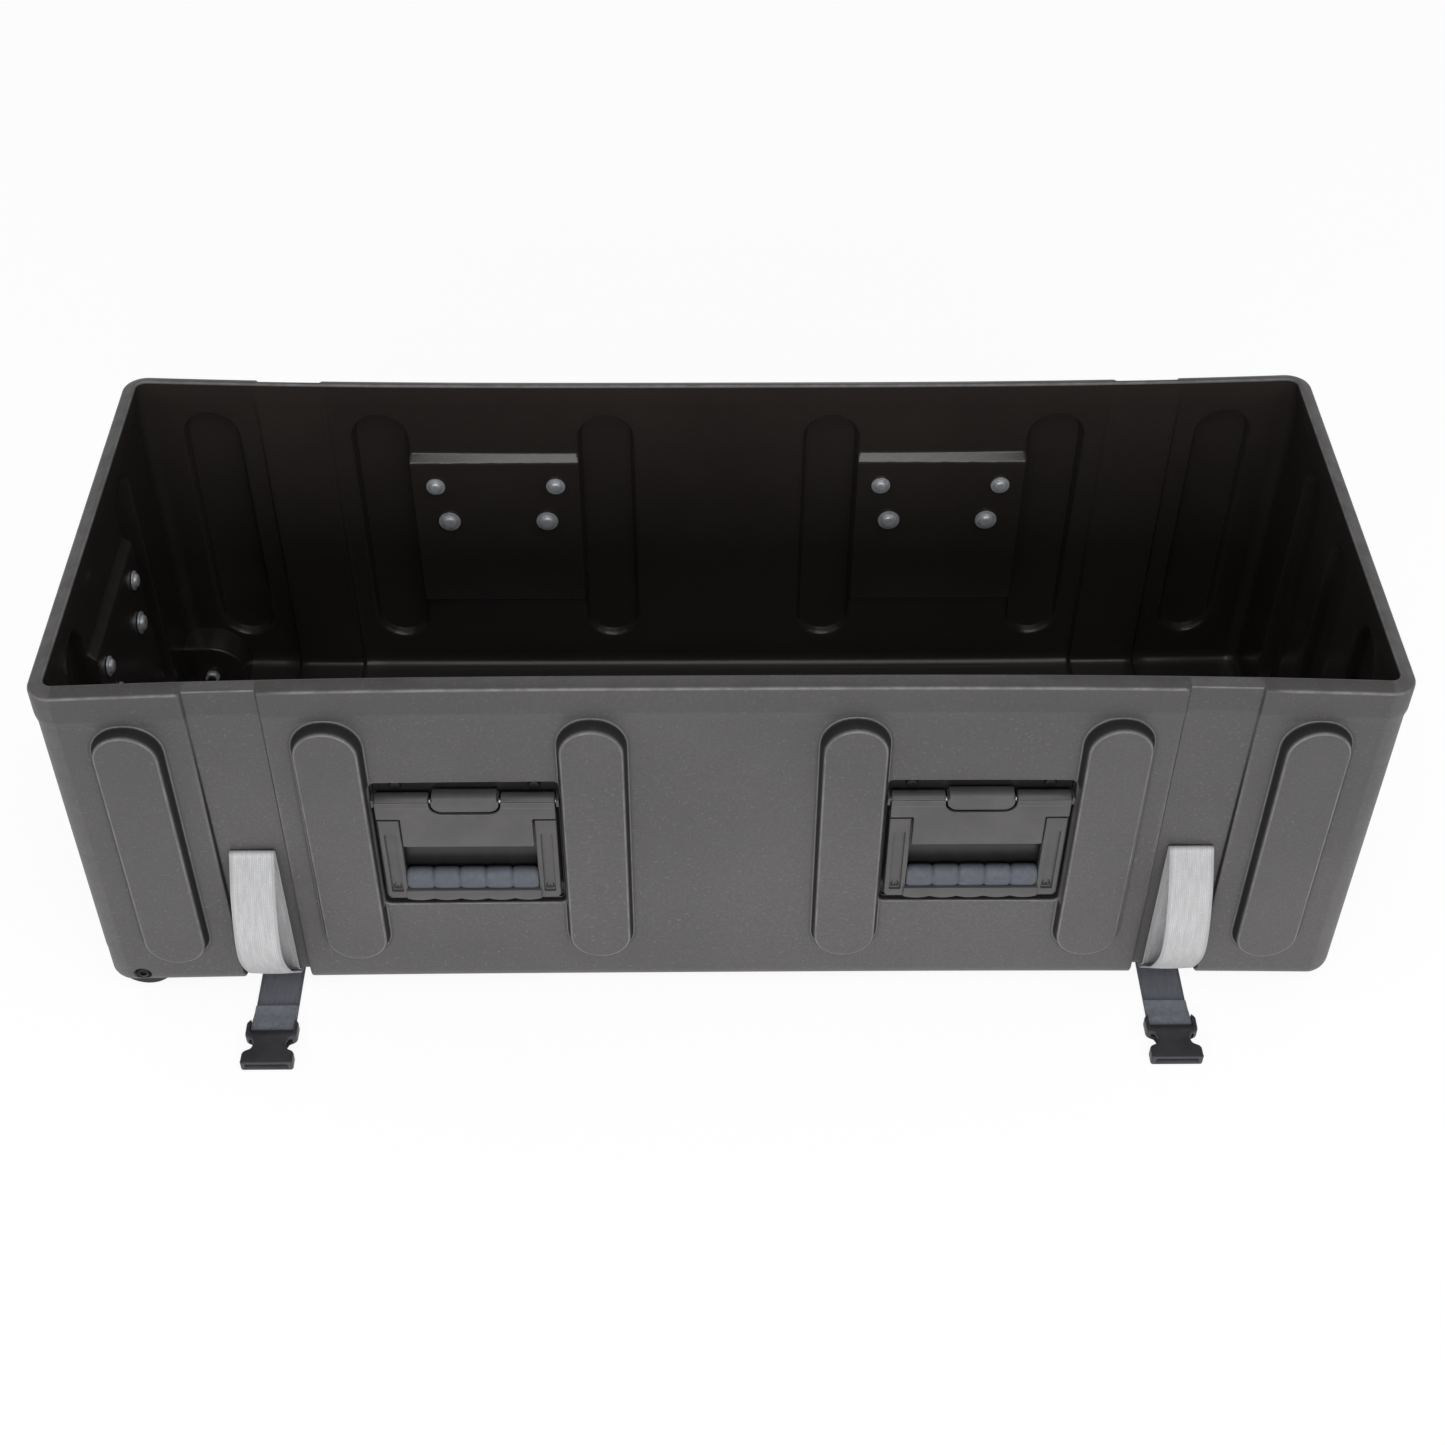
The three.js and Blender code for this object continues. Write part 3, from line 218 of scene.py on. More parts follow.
class Finish(Tree):
    """A material or the world in the making, whose tone starts as its base colour lifted."""

    def __init__(self, owner, base=WHITE, lift=1.0):
        self.material = bpy.data.materials.new(owner) if isinstance(owner, str) else owner
        self.material.use_nodes = True
        self.tree = self.material.node_tree
        self.tree.nodes.clear()
        self.base, self.tone = base, tinted(base, lift)

    def shift(self, amount, lift):
        """Moves the tone towards the base colour lifted."""
        sockets = {0: amount, 6: self.tone, 7: tinted(self.base, lift)}
        self.tone = self.shade("ShaderNodeMix", 2, sockets, data_type="RGBA")

    def place(self, scale=(1.0, 1.0, 1.0), turn=(0.0, 0.0, 0.0), layer=None):
        """Object coordinates, or a UV layer, stretched by scale."""
        if layer:
            start = self.shade("ShaderNodeUVMap", "UV", uv_map=layer)
        else:
            start = self.shade("ShaderNodeTexCoord", "Object")
        return self.shade("ShaderNodeMapping", "Vector", {"Vector": start, "Rotation": turn, "Scale": scale})

    def noise(self, size, detail=4.0, rough=0.55, place=None):
        """Cloudy noise whose spots are about size millimetres wide."""
        spot = place or self.place()
        sockets = {"Vector": spot, "Scale": 1 / (size * MM), "Detail": detail, "Roughness": rough}
        return self.shade("ShaderNodeTexNoise", "Fac", sockets)

    def cells(self, size):
        """Small pebbles about size millimetres wide."""
        sockets = {"Vector": self.place(), "Scale": 1 / (size * MM)}
        return self.shade("ShaderNodeTexVoronoi", "Distance", sockets)

    def axis(self, place, name):
        return self.shade("ShaderNodeSeparateXYZ", name, {"Vector": place})

    def carried(self, name):
        """A number stored on the mesh."""
        return self.shade("ShaderNodeAttribute", "Fac", attribute_name=name)

    def bump(self, height, deep, strength=1.0, under=None):
        """A bump deep millimetres high."""
        sockets = {"Strength": strength, "Distance": deep * MM, "Height": height}
        if under:
            sockets["Normal"] = under
        return self.shade("ShaderNodeBump", "Normal", sockets)

    def close(self, rough, normal, metal=0.0, **fixed):
        """The surface in the tone so far, and the material's output."""
        sockets = {"Base Color": self.tone, "Roughness": rough, "Metallic": metal, "Normal": normal}
        sockets.update({key.replace("_", " "): value for key, value in fixed.items()})
        self.finish(self.shade("ShaderNodeBsdfPrincipled", 0, sockets))
        return self.material

    def finish(self, surface, kind="ShaderNodeOutputMaterial"):
        self.node(kind, {"Surface": surface})


def colour(red, green, blue):
    """A screen colour, 0 to 255, as linear light."""
    shares = [value / 255 for value in (red, green, blue)]
    light = [share / 12.92 if share <= 0.04045 else ((share + 0.055) / 1.055) ** 2.4 for share in shares]
    return (*light, 1.0)


def tinted(base, lift):
    """The same colour, lighter or darker."""
    return (base[0] * lift, base[1] * lift, base[2] * lift, 1.0)


# Making meshes
def linked(name, data):
    """A new object in the scene."""
    piece = bpy.data.objects.new(name, data)
    bpy.context.scene.collection.objects.link(piece)
    return piece


def new_object(name, points, faces, materials, smooth=35.0, edges=()):
    """A mesh object from points in millimetres, shaded smooth below an angle in degrees."""
    mesh = bpy.data.meshes.new(name)
    mesh.from_pydata([tuple(c * MM for c in p) for p in points], edges, faces)
    mesh.update()
    for material in materials:
        mesh.materials.append(material)
    shade(mesh, smooth)
    return linked(name, mesh)


def shade(mesh, smooth=35.0):
    """Smooth faces with creases above an angle."""
    mesh.polygons.foreach_set("use_smooth", [True] * len(mesh.polygons))
    mesh.set_sharp_from_angle(angle=math.radians(smooth))
    mesh.update()


def discard(*pieces):
    """Removes pieces and their meshes."""
    for piece in pieces:
        mesh = piece.data
        bpy.data.objects.remove(piece)
        if mesh.users == 0:
            bpy.data.meshes.remove(mesh)


def settle(piece):
    """Turns the piece's modifiers into plain mesh and removes them."""
    graph = bpy.context.evaluated_depsgraph_get()
    mesh = bpy.data.meshes.new_from_object(piece.evaluated_get(graph), depsgraph=graph)
    old = piece.data
    piece.modifiers.clear()
    piece.data = mesh
    if old.users == 0:
        bpy.data.meshes.remove(old)
    if len(mesh.polygons) < 4:
        raise RuntimeError(f"{piece.name} came out empty")


def carve(piece, operation, *tools):
    """Unites, cuts or crosses closed pieces, and discards the tools."""
    for tool in tools:
        cut = piece.modifiers.new("Carve", "BOOLEAN")
        cut.solver = "MANIFOLD"
        cut.operation = operation
        cut.object = tool
        settle(piece)
        discard(tool)
    return piece


def merge(name, *pieces):
    """Several pieces as one object."""
    whole = bmesh.new()
    materials = []
    for piece in pieces:
        count = len(whole.faces)
        whole.from_mesh(piece.data)
        whole.faces.ensure_lookup_table()
        for face in whole.faces[count:]:
            material = piece.data.materials[face.material_index]
            if material not in materials:
                materials.append(material)
            face.material_index = materials.index(material)
    mesh = bpy.data.meshes.new(name)
    whole.to_mesh(mesh)
    whole.free()
    for material in materials:
        mesh.materials.append(material)
    discard(*pieces)
    shade(mesh)
    return linked(name, mesh)


def outward(piece):
    """Turns every face of a closed piece outwards, after its doubles are merged."""
    work = bmesh.new()
    work.from_mesh(piece.data)
    bmesh.ops.remove_doubles(work, verts=work.verts, dist=1e-6)
    bmesh.ops.recalc_face_normals(work, faces=work.faces)
    if work.calc_volume(signed=True) < 0:
        bmesh.ops.reverse_faces(work, faces=work.faces)
    work.to_mesh(piece.data)
    work.free()
    shade(piece.data)
    return piece


def lofted(name, rings, material):
    """A closed piece through rings of as many points each; a last ring like the first one needs no caps."""
    count = len(rings[0])
    points = [point for ring in rings for point in ring]
    faces = []
    for low in range(0, len(points) - count, count):
        high = low + count
        faces += [(low + i, high + i, high + (i + 1) % count, low + (i + 1) % count) for i in range(count)]
    if rings[0] != rings[-1]:
        faces += [tuple(range(count)), tuple(range(len(points) - 1, len(points) - count - 1, -1))]
    return outward(new_object(name, points, faces, [material]))


def quarter(steps):
    """What is left of the way across and what is gone of the way up, on a quarter of a circle."""
    angles = [math.pi / 2 * k / steps for k in range(steps + 1)]
    return [(1 - math.sin(angle), 1 - math.cos(angle)) for angle in angles]


def corner_arc(cx, cz, radius, start, end, steps):
    """Points of an arc, with angles in degrees."""
    angles = [math.radians(start + (end - start) * i / steps) for i in range(steps + 1)]
    return [(cx + radius * math.cos(a), cz + radius * math.sin(a)) for a in angles]


def rounded_outline(x0, x1, z0, z1, radius, steps=5):
    """Anticlockwise rounded rectangle."""
    left, right, low, high = x0 + radius, x1 - radius, z0 + radius, z1 - radius
    points = []
    for k, (x, z) in enumerate(((right, low), (right, high), (left, high), (left, low))):
        points += corner_arc(x, z, radius, 90 * k - 90, 90 * k, steps)
    return points


def softened(corners, steps=3):
    """An outline whose corners, given as x, z and radius, are rounded with arcs."""
    points = []
    for i, (x, z, radius) in enumerate(corners):
        if radius <= 0:
            points.append((x, z))
            continue
        here = Vector((x, z))
        before = (Vector(corners[i - 1][:2]) - here).normalized()
        after = (Vector(corners[(i + 1) % len(corners)][:2]) - here).normalized()
        half = before.angle(after) / 2
        centre = here + (before + after).normalized() * (radius / math.sin(half))
        reach = radius / math.tan(half)
        first, last = here + before * reach - centre, here + after * reach - centre
        sweep = first.angle_signed(last)
        for k in range(steps + 1):
            spoke = Matrix.Rotation(-sweep * k / steps, 2) @ first
            points.append((centre.x + spoke.x, centre.y + spoke.y))
    return points


def box_corners(x0, x1, z0, z1, *rounds):
    """Corners of a box for softened, anticlockwise from the lower left, with a radius for each."""
    return [(x, z, r) for x, z, r in zip((x0, x1, x1, x0), (z0, z0, z1, z1), rounds)]


def shrunk(outline, inset):
    """An anticlockwise outline moved inwards; a stretch that this would turn over closes to a point."""
    count = len(outline)
    old = [Vector(p) for p in outline]
    moved = []
    for i in range(count):
        ahead = (old[(i + 1) % count] - old[i]).normalized()
        behind = (old[i] - old[i - 1]).normalized()
        left = Vector((-ahead.y, ahead.x)) + Vector((-behind.y, behind.x))
        left.normalize()
        lean = max(0.35, left.dot(Vector((-ahead.y, ahead.x))))
        moved.append(old[i] + left * (inset / lean))
    for _ in range(count):
        turned_over = [
            i for i in range(count)
            if (moved[(i + 1) % count] - moved[i]).dot(old[(i + 1) % count] - old[i]) < -1e-9
        ]
        if not turned_over:
            break
        for i in turned_over:
            j = (i + 1) % count
            middle = (moved[i] + moved[j]) / 2
            moved[i], moved[j] = middle, middle.copy()
    return [(spot.x, spot.y) for spot in moved]


def slab(name, outline, front, back, edge, material, steps=3, back_edge=0.0, place=tuple):
    """An outline in X and Z given depth along Y, with rounded edges."""
    depths = [(edge * near, front + edge * far) for near, far in quarter(steps)]
    if back_edge:
        depths += [(back_edge * far, back - back_edge * near) for near, far in quarter(steps)]
    else:
        depths.append((0.0, back))
    rings = [[place((x, depth, z)) for x, z in shrunk(outline, inset)] for inset, depth in depths]
    return lofted(name, rings, material)


def cutter(outline, front, back, material, back_edge=0.0, place=tuple):
    """A sharp-edged slab that is carved away or crossed with another."""
    return slab("Cutter", outline, front, back, 0.0, material, 1, back_edge, place)


def turned(name, profile, material, sides=48, axis="y", centre=(0.0, 0.0, 0.0), flat=1.0):
    """A profile of radius and distance, turned about the Y or X axis through the centre."""
    rings = []
    for radius, along in profile:
        ring = []
        for s in range(sides):
            a = 2 * math.pi * s / sides
            across, up = radius * math.cos(a), radius * math.sin(a)
            spot = (across, along, up) if axis == "y" else (along, across * flat, up)
            ring.append(tuple(spot[k] + centre[k] for k in range(3)))
        rings.append(ring)
    return lofted(name, rings, material)


# The tub's perimeter: name, length, and a wall's start and direction or a corner's first angle
MID_X = HALF_LENGTH - CORNER
MID_Y = HALF_WIDTH - CORNER
CORNER_RUN = math.pi / 2 * CORNER
CORNER_STEPS = 12
WALL_STEP = 26.0
OUTLINE_STEP = 28.0
PAD_CLEAR = 7.0
RECESS_CLEAR = 9.0
TOLERANCE = 1e-3
STRETCHES = (
    ("back", MID_X, (0.0, HALF_WIDTH), (-1, 0)),
    ("corner", CORNER_RUN, 90, None),
    ("left", 2 * MID_Y, (-HALF_LENGTH, MID_Y), (0, -1)),
    ("corner", CORNER_RUN, 180, None),
    ("front", 2 * MID_X, (-MID_X, -HALF_WIDTH), (1, 0)),
    ("corner", CORNER_RUN, 270, None),
    ("right", 2 * MID_Y, (HALF_LENGTH, -MID_Y), (0, 1)),
    ("corner", CORNER_RUN, 0, None),
    ("back", MID_X, (MID_X, HALF_WIDTH), (-1, 0)),
)
*STARTS, PERIMETER = np.cumsum([0.0] + [stretch[1] for stretch in STRETCHES]).tolist()


def run_of(wall, along):
    """Place on the perimeter of a point along a wall."""
    if wall == "back":
        return -along if along <= 0 else PERIMETER - along
    k = [stretch[0] for stretch in STRETCHES].index(wall)
    return STARTS[k] + STRETCHES[k][1] / 2 + (-along if wall == "left" else along)


def ring_of(run):
    """Rim point, outward direction and wall of each place on the perimeter."""
    x, y, nx, ny = np.zeros((4, len(run)))
    wall = np.full(run.shape, "corner", dtype="<U6")
    for (name, length, first, way), start in zip(STRETCHES, STARTS):
        here = (run >= start - 1e-7) & (run <= start + length + 1e-7)
        t = run[here] - start
        if name == "corner":
            angle = math.radians(first) + t / CORNER
            middle = math.radians(first + 45)
            nx[here], ny[here] = np.cos(angle), np.sin(angle)
            x[here] = math.copysign(MID_X, math.cos(middle)) + CORNER * nx[here]
            y[here] = math.copysign(MID_Y, math.sin(middle)) + CORNER * ny[here]
        else:
            nx[here], ny[here] = way[1], -way[0]
            x[here], y[here] = first[0] + way[0] * t, first[1] + way[1] * t
        wall[here] = name
    return x, y, nx, ny, wall


def bow_at(x, z):
    """How far a long wall bows inwards."""
    along = np.minimum(1.0, np.abs(x) / HALF_LENGTH)
    up = np.clip((z - GROUND_GAP) / (RIM - GROUND_GAP), 0.0, 1.0)
    return (FLOOR_BOW + (RIM_BOW - FLOOR_BOW) * up) * (1 - along**3)


def wall_face(wall, along, z=PAD_CENTRE):
    """Distance of a wall's face from the middle of the case."""
    if wall not in LONG_WALLS:
        return HALF_LENGTH - WALL_INSET
    return (HALF_WIDTH - WALL_INSET) * (1 - float(bow_at(along, z)) / HALF_WIDTH)


def channel_inset(z, depth=0.0):
    """Inset of a strap channel's floor, or of its ridge inside, at a height."""
    share = (z - FILLET_TOP) / (RIM - FILLET_TOP)
    return HALF_WIDTH - CHANNEL_LOW - (CHANNEL_HIGH - CHANNEL_LOW) * share + depth


def section_rows():
    """The tub's section over the lip to its floor: inset and height, then the same in a channel."""
    foot = HALF_WIDTH - CHANNEL_LOW

    def fillet(*arcs):
        places = [[(x + r * near, z + r * far) for x, z, r in arcs] for near, far in quarter(8)]
        return [(*wall, *groove) for wall, groove in places]

    def upright(spots, depth=0.0):
        return [(inset, z, channel_inset(z, depth), z) for inset, z in spots]

    band = [(WALL_INSET, BAND_FOOT), (WALL_INSET - 0.1, BAND_FOOT + BAND_SOFT), (0.1, BAND_EDGE - BAND_SOFT)]
    band += [(0.0, BAND_EDGE), (0.0, RIM - LIP_ROUND)]
    band += [(LIP_ROUND * far, RIM - LIP_ROUND * near) for near, far in quarter(4)[1:]]
    lip = [(LIP_INSET - LIP_ROUND * near, RIM + LIP_RISE - LIP_ROUND * far) for near, far in quarter(4)]
    lip += [(INNER_INSET + 0.4, BAND_FOOT + 4.0), (INNER_INSET, BAND_FOOT - 1.0)]
    channel = (foot, GROUND_GAP + CHANNEL_LIFT, CHANNEL_ROUND)
    ridge = (foot + CHANNEL_ROUND - RIDGE_ROUND, FLOOR_TOP + RIDGE_LIFT, RIDGE_ROUND)
    outer = fillet((WALL_INSET, GROUND_GAP, BOTTOM_ROUND), channel) + upright(band)
    inner = fillet((INNER_INSET, FLOOR_TOP, INNER_ROUND), ridge)
    return outer + upright(lip, INNER_INSET - WALL_INSET) + inner[::-1], len(outer)


def runs_along(points):
    """Distance along a line at each of its points."""
    return np.cumsum([0.0] + [math.dist(a, b) for a, b in zip(points, points[1:])])


SECTION, OUTER_ROWS = section_rows()
SECTION_RUN = runs_along([row[:2] for row in SECTION])
LIP_EDGE, LIP_INNER = SECTION_RUN[OUTER_ROWS - 1:OUTER_ROWS + 1]
LIP_RUN = (LIP_EDGE + LIP_INNER) / 2


def section_at(height, inner):
    """Place on the section of a height on the outer or the inner wall."""
    rows = slice(None, OUTER_ROWS - 1, -1) if inner else slice(OUTER_ROWS)
    return float(np.interp(height, [row[1] for row in SECTION[rows]], SECTION_RUN[rows]))


def pad_spots():
    """Wall and place along it of each pad."""
    from_handle = RECESS_HALF + PAD[0] + 0.2
    offsets = (0.4355 * 2 * HALF_LENGTH, HANDLE_X + from_handle, HANDLE_X - from_handle)
    spots = [(wall, side * x) for wall in LONG_WALLS for x in offsets for side in (-1, 1)]
    end = 0.243 * 2 * HALF_WIDTH
    spots += [(wall, side * end) for wall in ("left", "right") for side in (-1, 1)]
    return spots + [("right", 0.0)]


PAD_SPOTS = pad_spots()
HANDLE_SPOTS = {
    "front_left": ("front", -HANDLE_X),
    "front_right": ("front", HANDLE_X),
    "back_left": ("back", -HANDLE_X),
    "back_right": ("back", HANDLE_X),
    "end": ("left", 0.0),
}


def stadium_depth(across, up, half, low, high):
    """Distance inside a stadium's outline."""
    middle = np.clip(up, low + half, high - half)
    return half - np.hypot(across, up - middle)


def box_depth(across, up, half, low, high):
    """Distance inside a recess's outline."""
    away = np.abs(across) - half + RECESS_ROUND
    rise = np.abs(up - (low + high) / 2) - (high - low) / 2 + RECESS_ROUND
    outside = np.hypot(np.maximum(away, 0.0), np.maximum(rise, 0.0))
    return RECESS_ROUND - outside - np.minimum(np.maximum(away, rise), 0.0)


def bump_share(across, up):
    """How far the block behind a handle recess stands into the tub, from 1 on its face to 0."""
    z = up - GROUND_GAP
    (in_x, out_x), (in_low, out_low), (in_high, out_high) = zip(BUMP_INNER, BUMP_OUTER)
    out = np.maximum.reduce([
        (np.abs(across) - in_x) / (out_x - in_x),
        (in_low - z) / (in_low - out_low),
        (z - in_high) / (out_high - in_high),
    ])
    return step_at(BUMP_STEP, np.clip(out, 0.0, 1.0))


def chain(points, start=0):
    """Edges that join points in order."""
    return [(start + i, start + i + 1) for i in range(len(points) - 1)]


def stadium_outline(centre, half, low, high, inset, steps=16):
    """A stadium's outline, smaller by inset all round."""
    top, bottom = high - half, low + half
    count = max(2, round((top - bottom) / OUTLINE_STEP))
    points = []
    for reach, start, end in ((half - inset, top, bottom), (inset - half, bottom, top)):
        for angle in (math.pi * k / steps for k in range(steps + 1)):
            points.append((centre + reach * math.cos(angle), start + reach * math.sin(angle)))
        points += [(centre - reach, start + (end - start) * k / count) for k in range(1, count)]
    return points


def divided(outline):
    """The outline with points added on its long sides."""
    points = []
    for start, end in zip(outline, outline[1:] + outline[:1]):
        count = max(1, round(math.dist(start, end) / OUTLINE_STEP))
        points += [tuple(a + (b - a) * k / count for a, b in zip(start, end)) for k in range(count)]
    return points


def groove_lines(table, half):
    """Places along the case of a strap channel's lines, or of its ridge's."""
    reaches = [edge * (half - depth) for edge in (-1, 1) for depth, _ in table]
    return [middle + reach for middle in (-CHANNEL_X, CHANNEL_X) for reach in reaches]


def lay_out_tub():
    """Points and lines of the tub's sheet, laid out flat on its perimeter and its section."""
    points, edges = [], []

    def lines(runs, levels, upright=False):
        """A line at each level through all runs, or at each run through all levels."""
        for first in runs if upright else levels:
            line = [(first, level) for level in levels] if upright else [(run, first) for run in runs]
            edges.extend(chain(line, len(points)))
            points.extend(line)

    def loop(wall, inner, outline):
        """An outline in distance along a wall and height."""
        edges.extend(chain(outline, len(points)) + [(len(points) + len(outline) - 1, len(points))])
        points.extend((run_of(wall, x), section_at(z, inner)) for x, z in outline)

    runs, corner_runs = set(), [0.0, PERIMETER]
    for (name, length, _, _), start in zip(STRETCHES, STARTS):
        count = CORNER_STEPS if name == "corner" else round(length / WALL_STEP)
        places = [start + length * k / count for k in range(count + 1)]
        runs |= {round(place, 6) for place in places}
        corner_runs += places if name == "corner" else []
    runs = sorted(runs)
    runs[-1] = PERIMETER
    lines(runs, SECTION_RUN.tolist())
    heights = np.linspace(FILLET_TOP, BAND_FOOT, 13)[1:-1].tolist()
    levels = SECTION_RUN.tolist() + [section_at(z, inner) for inner in (False, True) for z in heights]
    levels.sort()
    lines(corner_runs, levels, True)
    for inner, groove in enumerate(GROOVES):
        levels_there = [level for level in levels if (level > LIP_RUN) == bool(inner)]
        for wall in LONG_WALLS:
            lines([run_of(wall, x) for x in groove_lines(*groove)], levels_there, True)

    for wall, along in PAD_SPOTS:
        for inner, (shape, table) in enumerate(((PAD, PAD_STEP), (POCKET, POCKET_STEP))):
            for depth, _ in table:
                loop(wall, inner, stadium_outline(along, *shape, depth))
    half, low, high = RECESS
    for wall, along in HANDLE_SPOTS.values():
        for d, _ in RECESS_STEP:
            radius = max(1.0, RECESS_ROUND - d)
            box = rounded_outline(along - half + d, along + half - d, low + d, high - d, radius, 6)
            loop(wall, False, divided(box))
        for share, _ in BUMP_STEP:
            x, z0, z1 = (a + (b - a) * share for a, b in zip(BUMP_INNER, BUMP_OUTER))
            box = rounded_outline(along - x, along + x, z0 + GROUND_GAP, z1 + GROUND_GAP, 0.5, 1)
            loop(wall, True, divided(box))

    x, y, _, _, walls = ring_of(np.array(runs))
    for run, wall, px, py in zip(runs, walls, x, y):
        along = px if wall in LONG_WALLS else py
        pads = [along - spot for name, spot in PAD_SPOTS if name == wall]
        recesses = [along - spot for name, spot in HANDLE_SPOTS.values() if name == wall]
        for z in heights if wall != "corner" else ():
            near = [stadium_depth(across, z, *PAD) > -PAD_CLEAR for across in pads]
            near += [box_depth(across, z, *RECESS) > -RECESS_CLEAR for across in recesses]
            if not any(near):
                points += [(run, section_at(z, False)), (run, section_at(z, True))]
    return points, edges


def shape_sheet(run, place):
    """Positions of the sheet's points, and their painted light: painted highlight up to 1, painted shade
    down to -1.
    """
    x, y, nx, ny, wall = ring_of(run)
    out, z, channel, channel_z = (np.interp(place, SECTION_RUN, column) for column in np.array(SECTION).T)
    out = -out
    inner = place > LIP_RUN
    long_wall = np.isin(wall, LONG_WALLS)
    half = LIP_HIGHLIGHT_WIDTH / 2
    on_top = np.abs(place - LIP_RUN) < LIP_RUN - LIP_EDGE + 1.5
    # Painted highlights along the lip's outer and inner edges, on its top (brighter on the ends) and on the
    # outer corners
    rub = np.maximum.reduce([
        step_at(((-LIP_HIGHLIGHT_WIDTH, 0.0), (-half, EDGE_HIGHLIGHT[0]), (0.0, 0.0)), place - LIP_EDGE),
        step_at(((0.0, 0.0), (half, EDGE_HIGHLIGHT[1]), (LIP_HIGHLIGHT_WIDTH, 0.0)), place - LIP_INNER),
        on_top * np.where(long_wall, *TOP_HIGHLIGHT),
        np.where((wall == "corner") & ~inner, CORNER_HIGHLIGHT, 0.0),
    ])
    inside, ridge = (half - np.abs(np.abs(x) - CHANNEL_X) for half in (CHANNEL_HALF, RIDGE_HALF))
    share = np.where(inner, step_at(RIDGE_STEP, ridge), step_at(CHANNEL_STEP, inside)) * long_wall
    out = out + (np.minimum(out, -channel) - out) * share
    z = z + (channel_z - z) * share

    def pressed(here, share, name, distance):
        """Offsets moved by a share towards a distance from the middle of the case."""
        if name in LONG_WALLS:
            goal = distance / (1 - bow_at(x, z) / HALF_WIDTH) - HALF_WIDTH
        else:
            goal = distance - HALF_LENGTH
        return out + (goal - out) * np.where(here, share, 0.0)

    # Puts a feature's painted highlight or painted shade where it has one
    def marked(here, marking):
        return np.where(here & (marking != 0.0), marking, rub)

    # Painted highlight along the strap channels' edges and painted shade on their sides, weaker towards the
    # rim
    rub = marked(long_wall & ~inner, step_at(CHANNEL_PAINTED_LIGHT, inside) * step_at(CHANNEL_PAINTED_FADE, z))
    for name, spot in PAD_SPOTS:
        here = wall == name
        across = (x if name in LONG_WALLS else y) - spot
        face = wall_face(name, spot)
        depth = stadium_depth(across, z, *PAD)
        out = pressed(here & ~inner, step_at(PAD_STEP, depth), name, face + case_sizes().pad_proud / MM)
        # Painted highlights at the pads' foot and top edges, and painted shade on their sloping sides and
        # just outside them
        rub = marked(here & ~inner, step_at(PAD_PAINTED_LIGHT, depth))
        share = step_at(POCKET_STEP, stadium_depth(across, z, *POCKET))
        out = pressed(here & inner, share, name, face + POCKET_DEPTH)
    for name, spot in HANDLE_SPOTS.values():
        here = wall == name
        across = (x if name in LONG_WALLS else y) - spot
        face = wall_face(name, spot, GROUND_GAP + HINGE_Z)
        depth = box_depth(across, z, *RECESS)
        out = pressed(here & ~inner, step_at(RECESS_STEP, depth), name, face - RECESS_DEPTH)
        # Painted highlight on the handle recess's rim and painted shade inside it
        rub = marked(here & ~inner, step_at(RECESS_PAINTED_LIGHT, depth))
        share = bump_share(across, z)
        out = pressed(here & inner, share, name, face - BUMP_DEPTH)
        # Painted highlights on the edges of the block behind the handle recess
        rub = marked(here & inner, step_at(BUMP_HIGHLIGHT, share))
    px = x + nx * out
    py = y + ny * out
    return np.stack([px, py * (1 - bow_at(px, z) / HALF_WIDTH), z], axis=1), rub


def fill_ring(points, ring, under):
    """Faces that close the sheet below, or above for the floor inside, with the channels across it."""
    flat = [Vector(points[i][:2]) for i in ring]
    count = len(ring)
    edges = []
    table, half = GROOVES[not under]
    for x in groove_lines(table, half):
        ends = [k for k in range(count) if abs(flat[k].x - x) < TOLERANCE]
        if len(ends) == 2:
            edges.append(tuple(ends))
    for side in (-1, 1) if under else ():
        for depth, _ in FOOT_STEP:
            start = len(flat)
            loop = stadium_outline(0.0, *FOOT, depth, 12)
            flat += [Vector((FOOT_X + a, side * FOOT_Y + b)) for a, b in loop]
            edges += [(start + k, start + (k + 1) % len(loop)) for k in range(len(loop))]
    margin = 50.0
    for x in np.linspace(margin - HALF_LENGTH, HALF_LENGTH - margin, 18):
        for y in np.linspace(margin - HALF_WIDTH, HALF_WIDTH - margin, 7):
            if abs(abs(x) - CHANNEL_X) > RIDGE_HALF + 6 and (not under or x < FOOT_X - 40):
                flat.append(Vector((float(x), float(y))))
    spots, _, faces, sources, _, _ = delaunay_2d_cdt(flat, edges, [tuple(range(count))], 1, 1e-5)
    names, made = [], []
    for spot, origin in zip(spots, sources):
        old = [ring[o] for o in origin if o < count]
        if old:
            names.append(old[0])
            continue
        share = step_at(table, half - abs(abs(spot.x) - CHANNEL_X))
        if under:
            foot = stadium_depth(abs(spot.x - FOOT_X), abs(spot.y) - FOOT_Y, *FOOT)
            z = GROUND_GAP + CHANNEL_LIFT * share - GROUND_GAP * step_at(FOOT_STEP, foot)
        else:
            z = FLOOR_TOP + RIDGE_LIFT * share
        names.append(len(points) + len(made))
        made.append((spot.x, spot.y, float(z)))
    return made, [tuple(names[i] for i in (reversed(face) if under else face)) for face in faces]


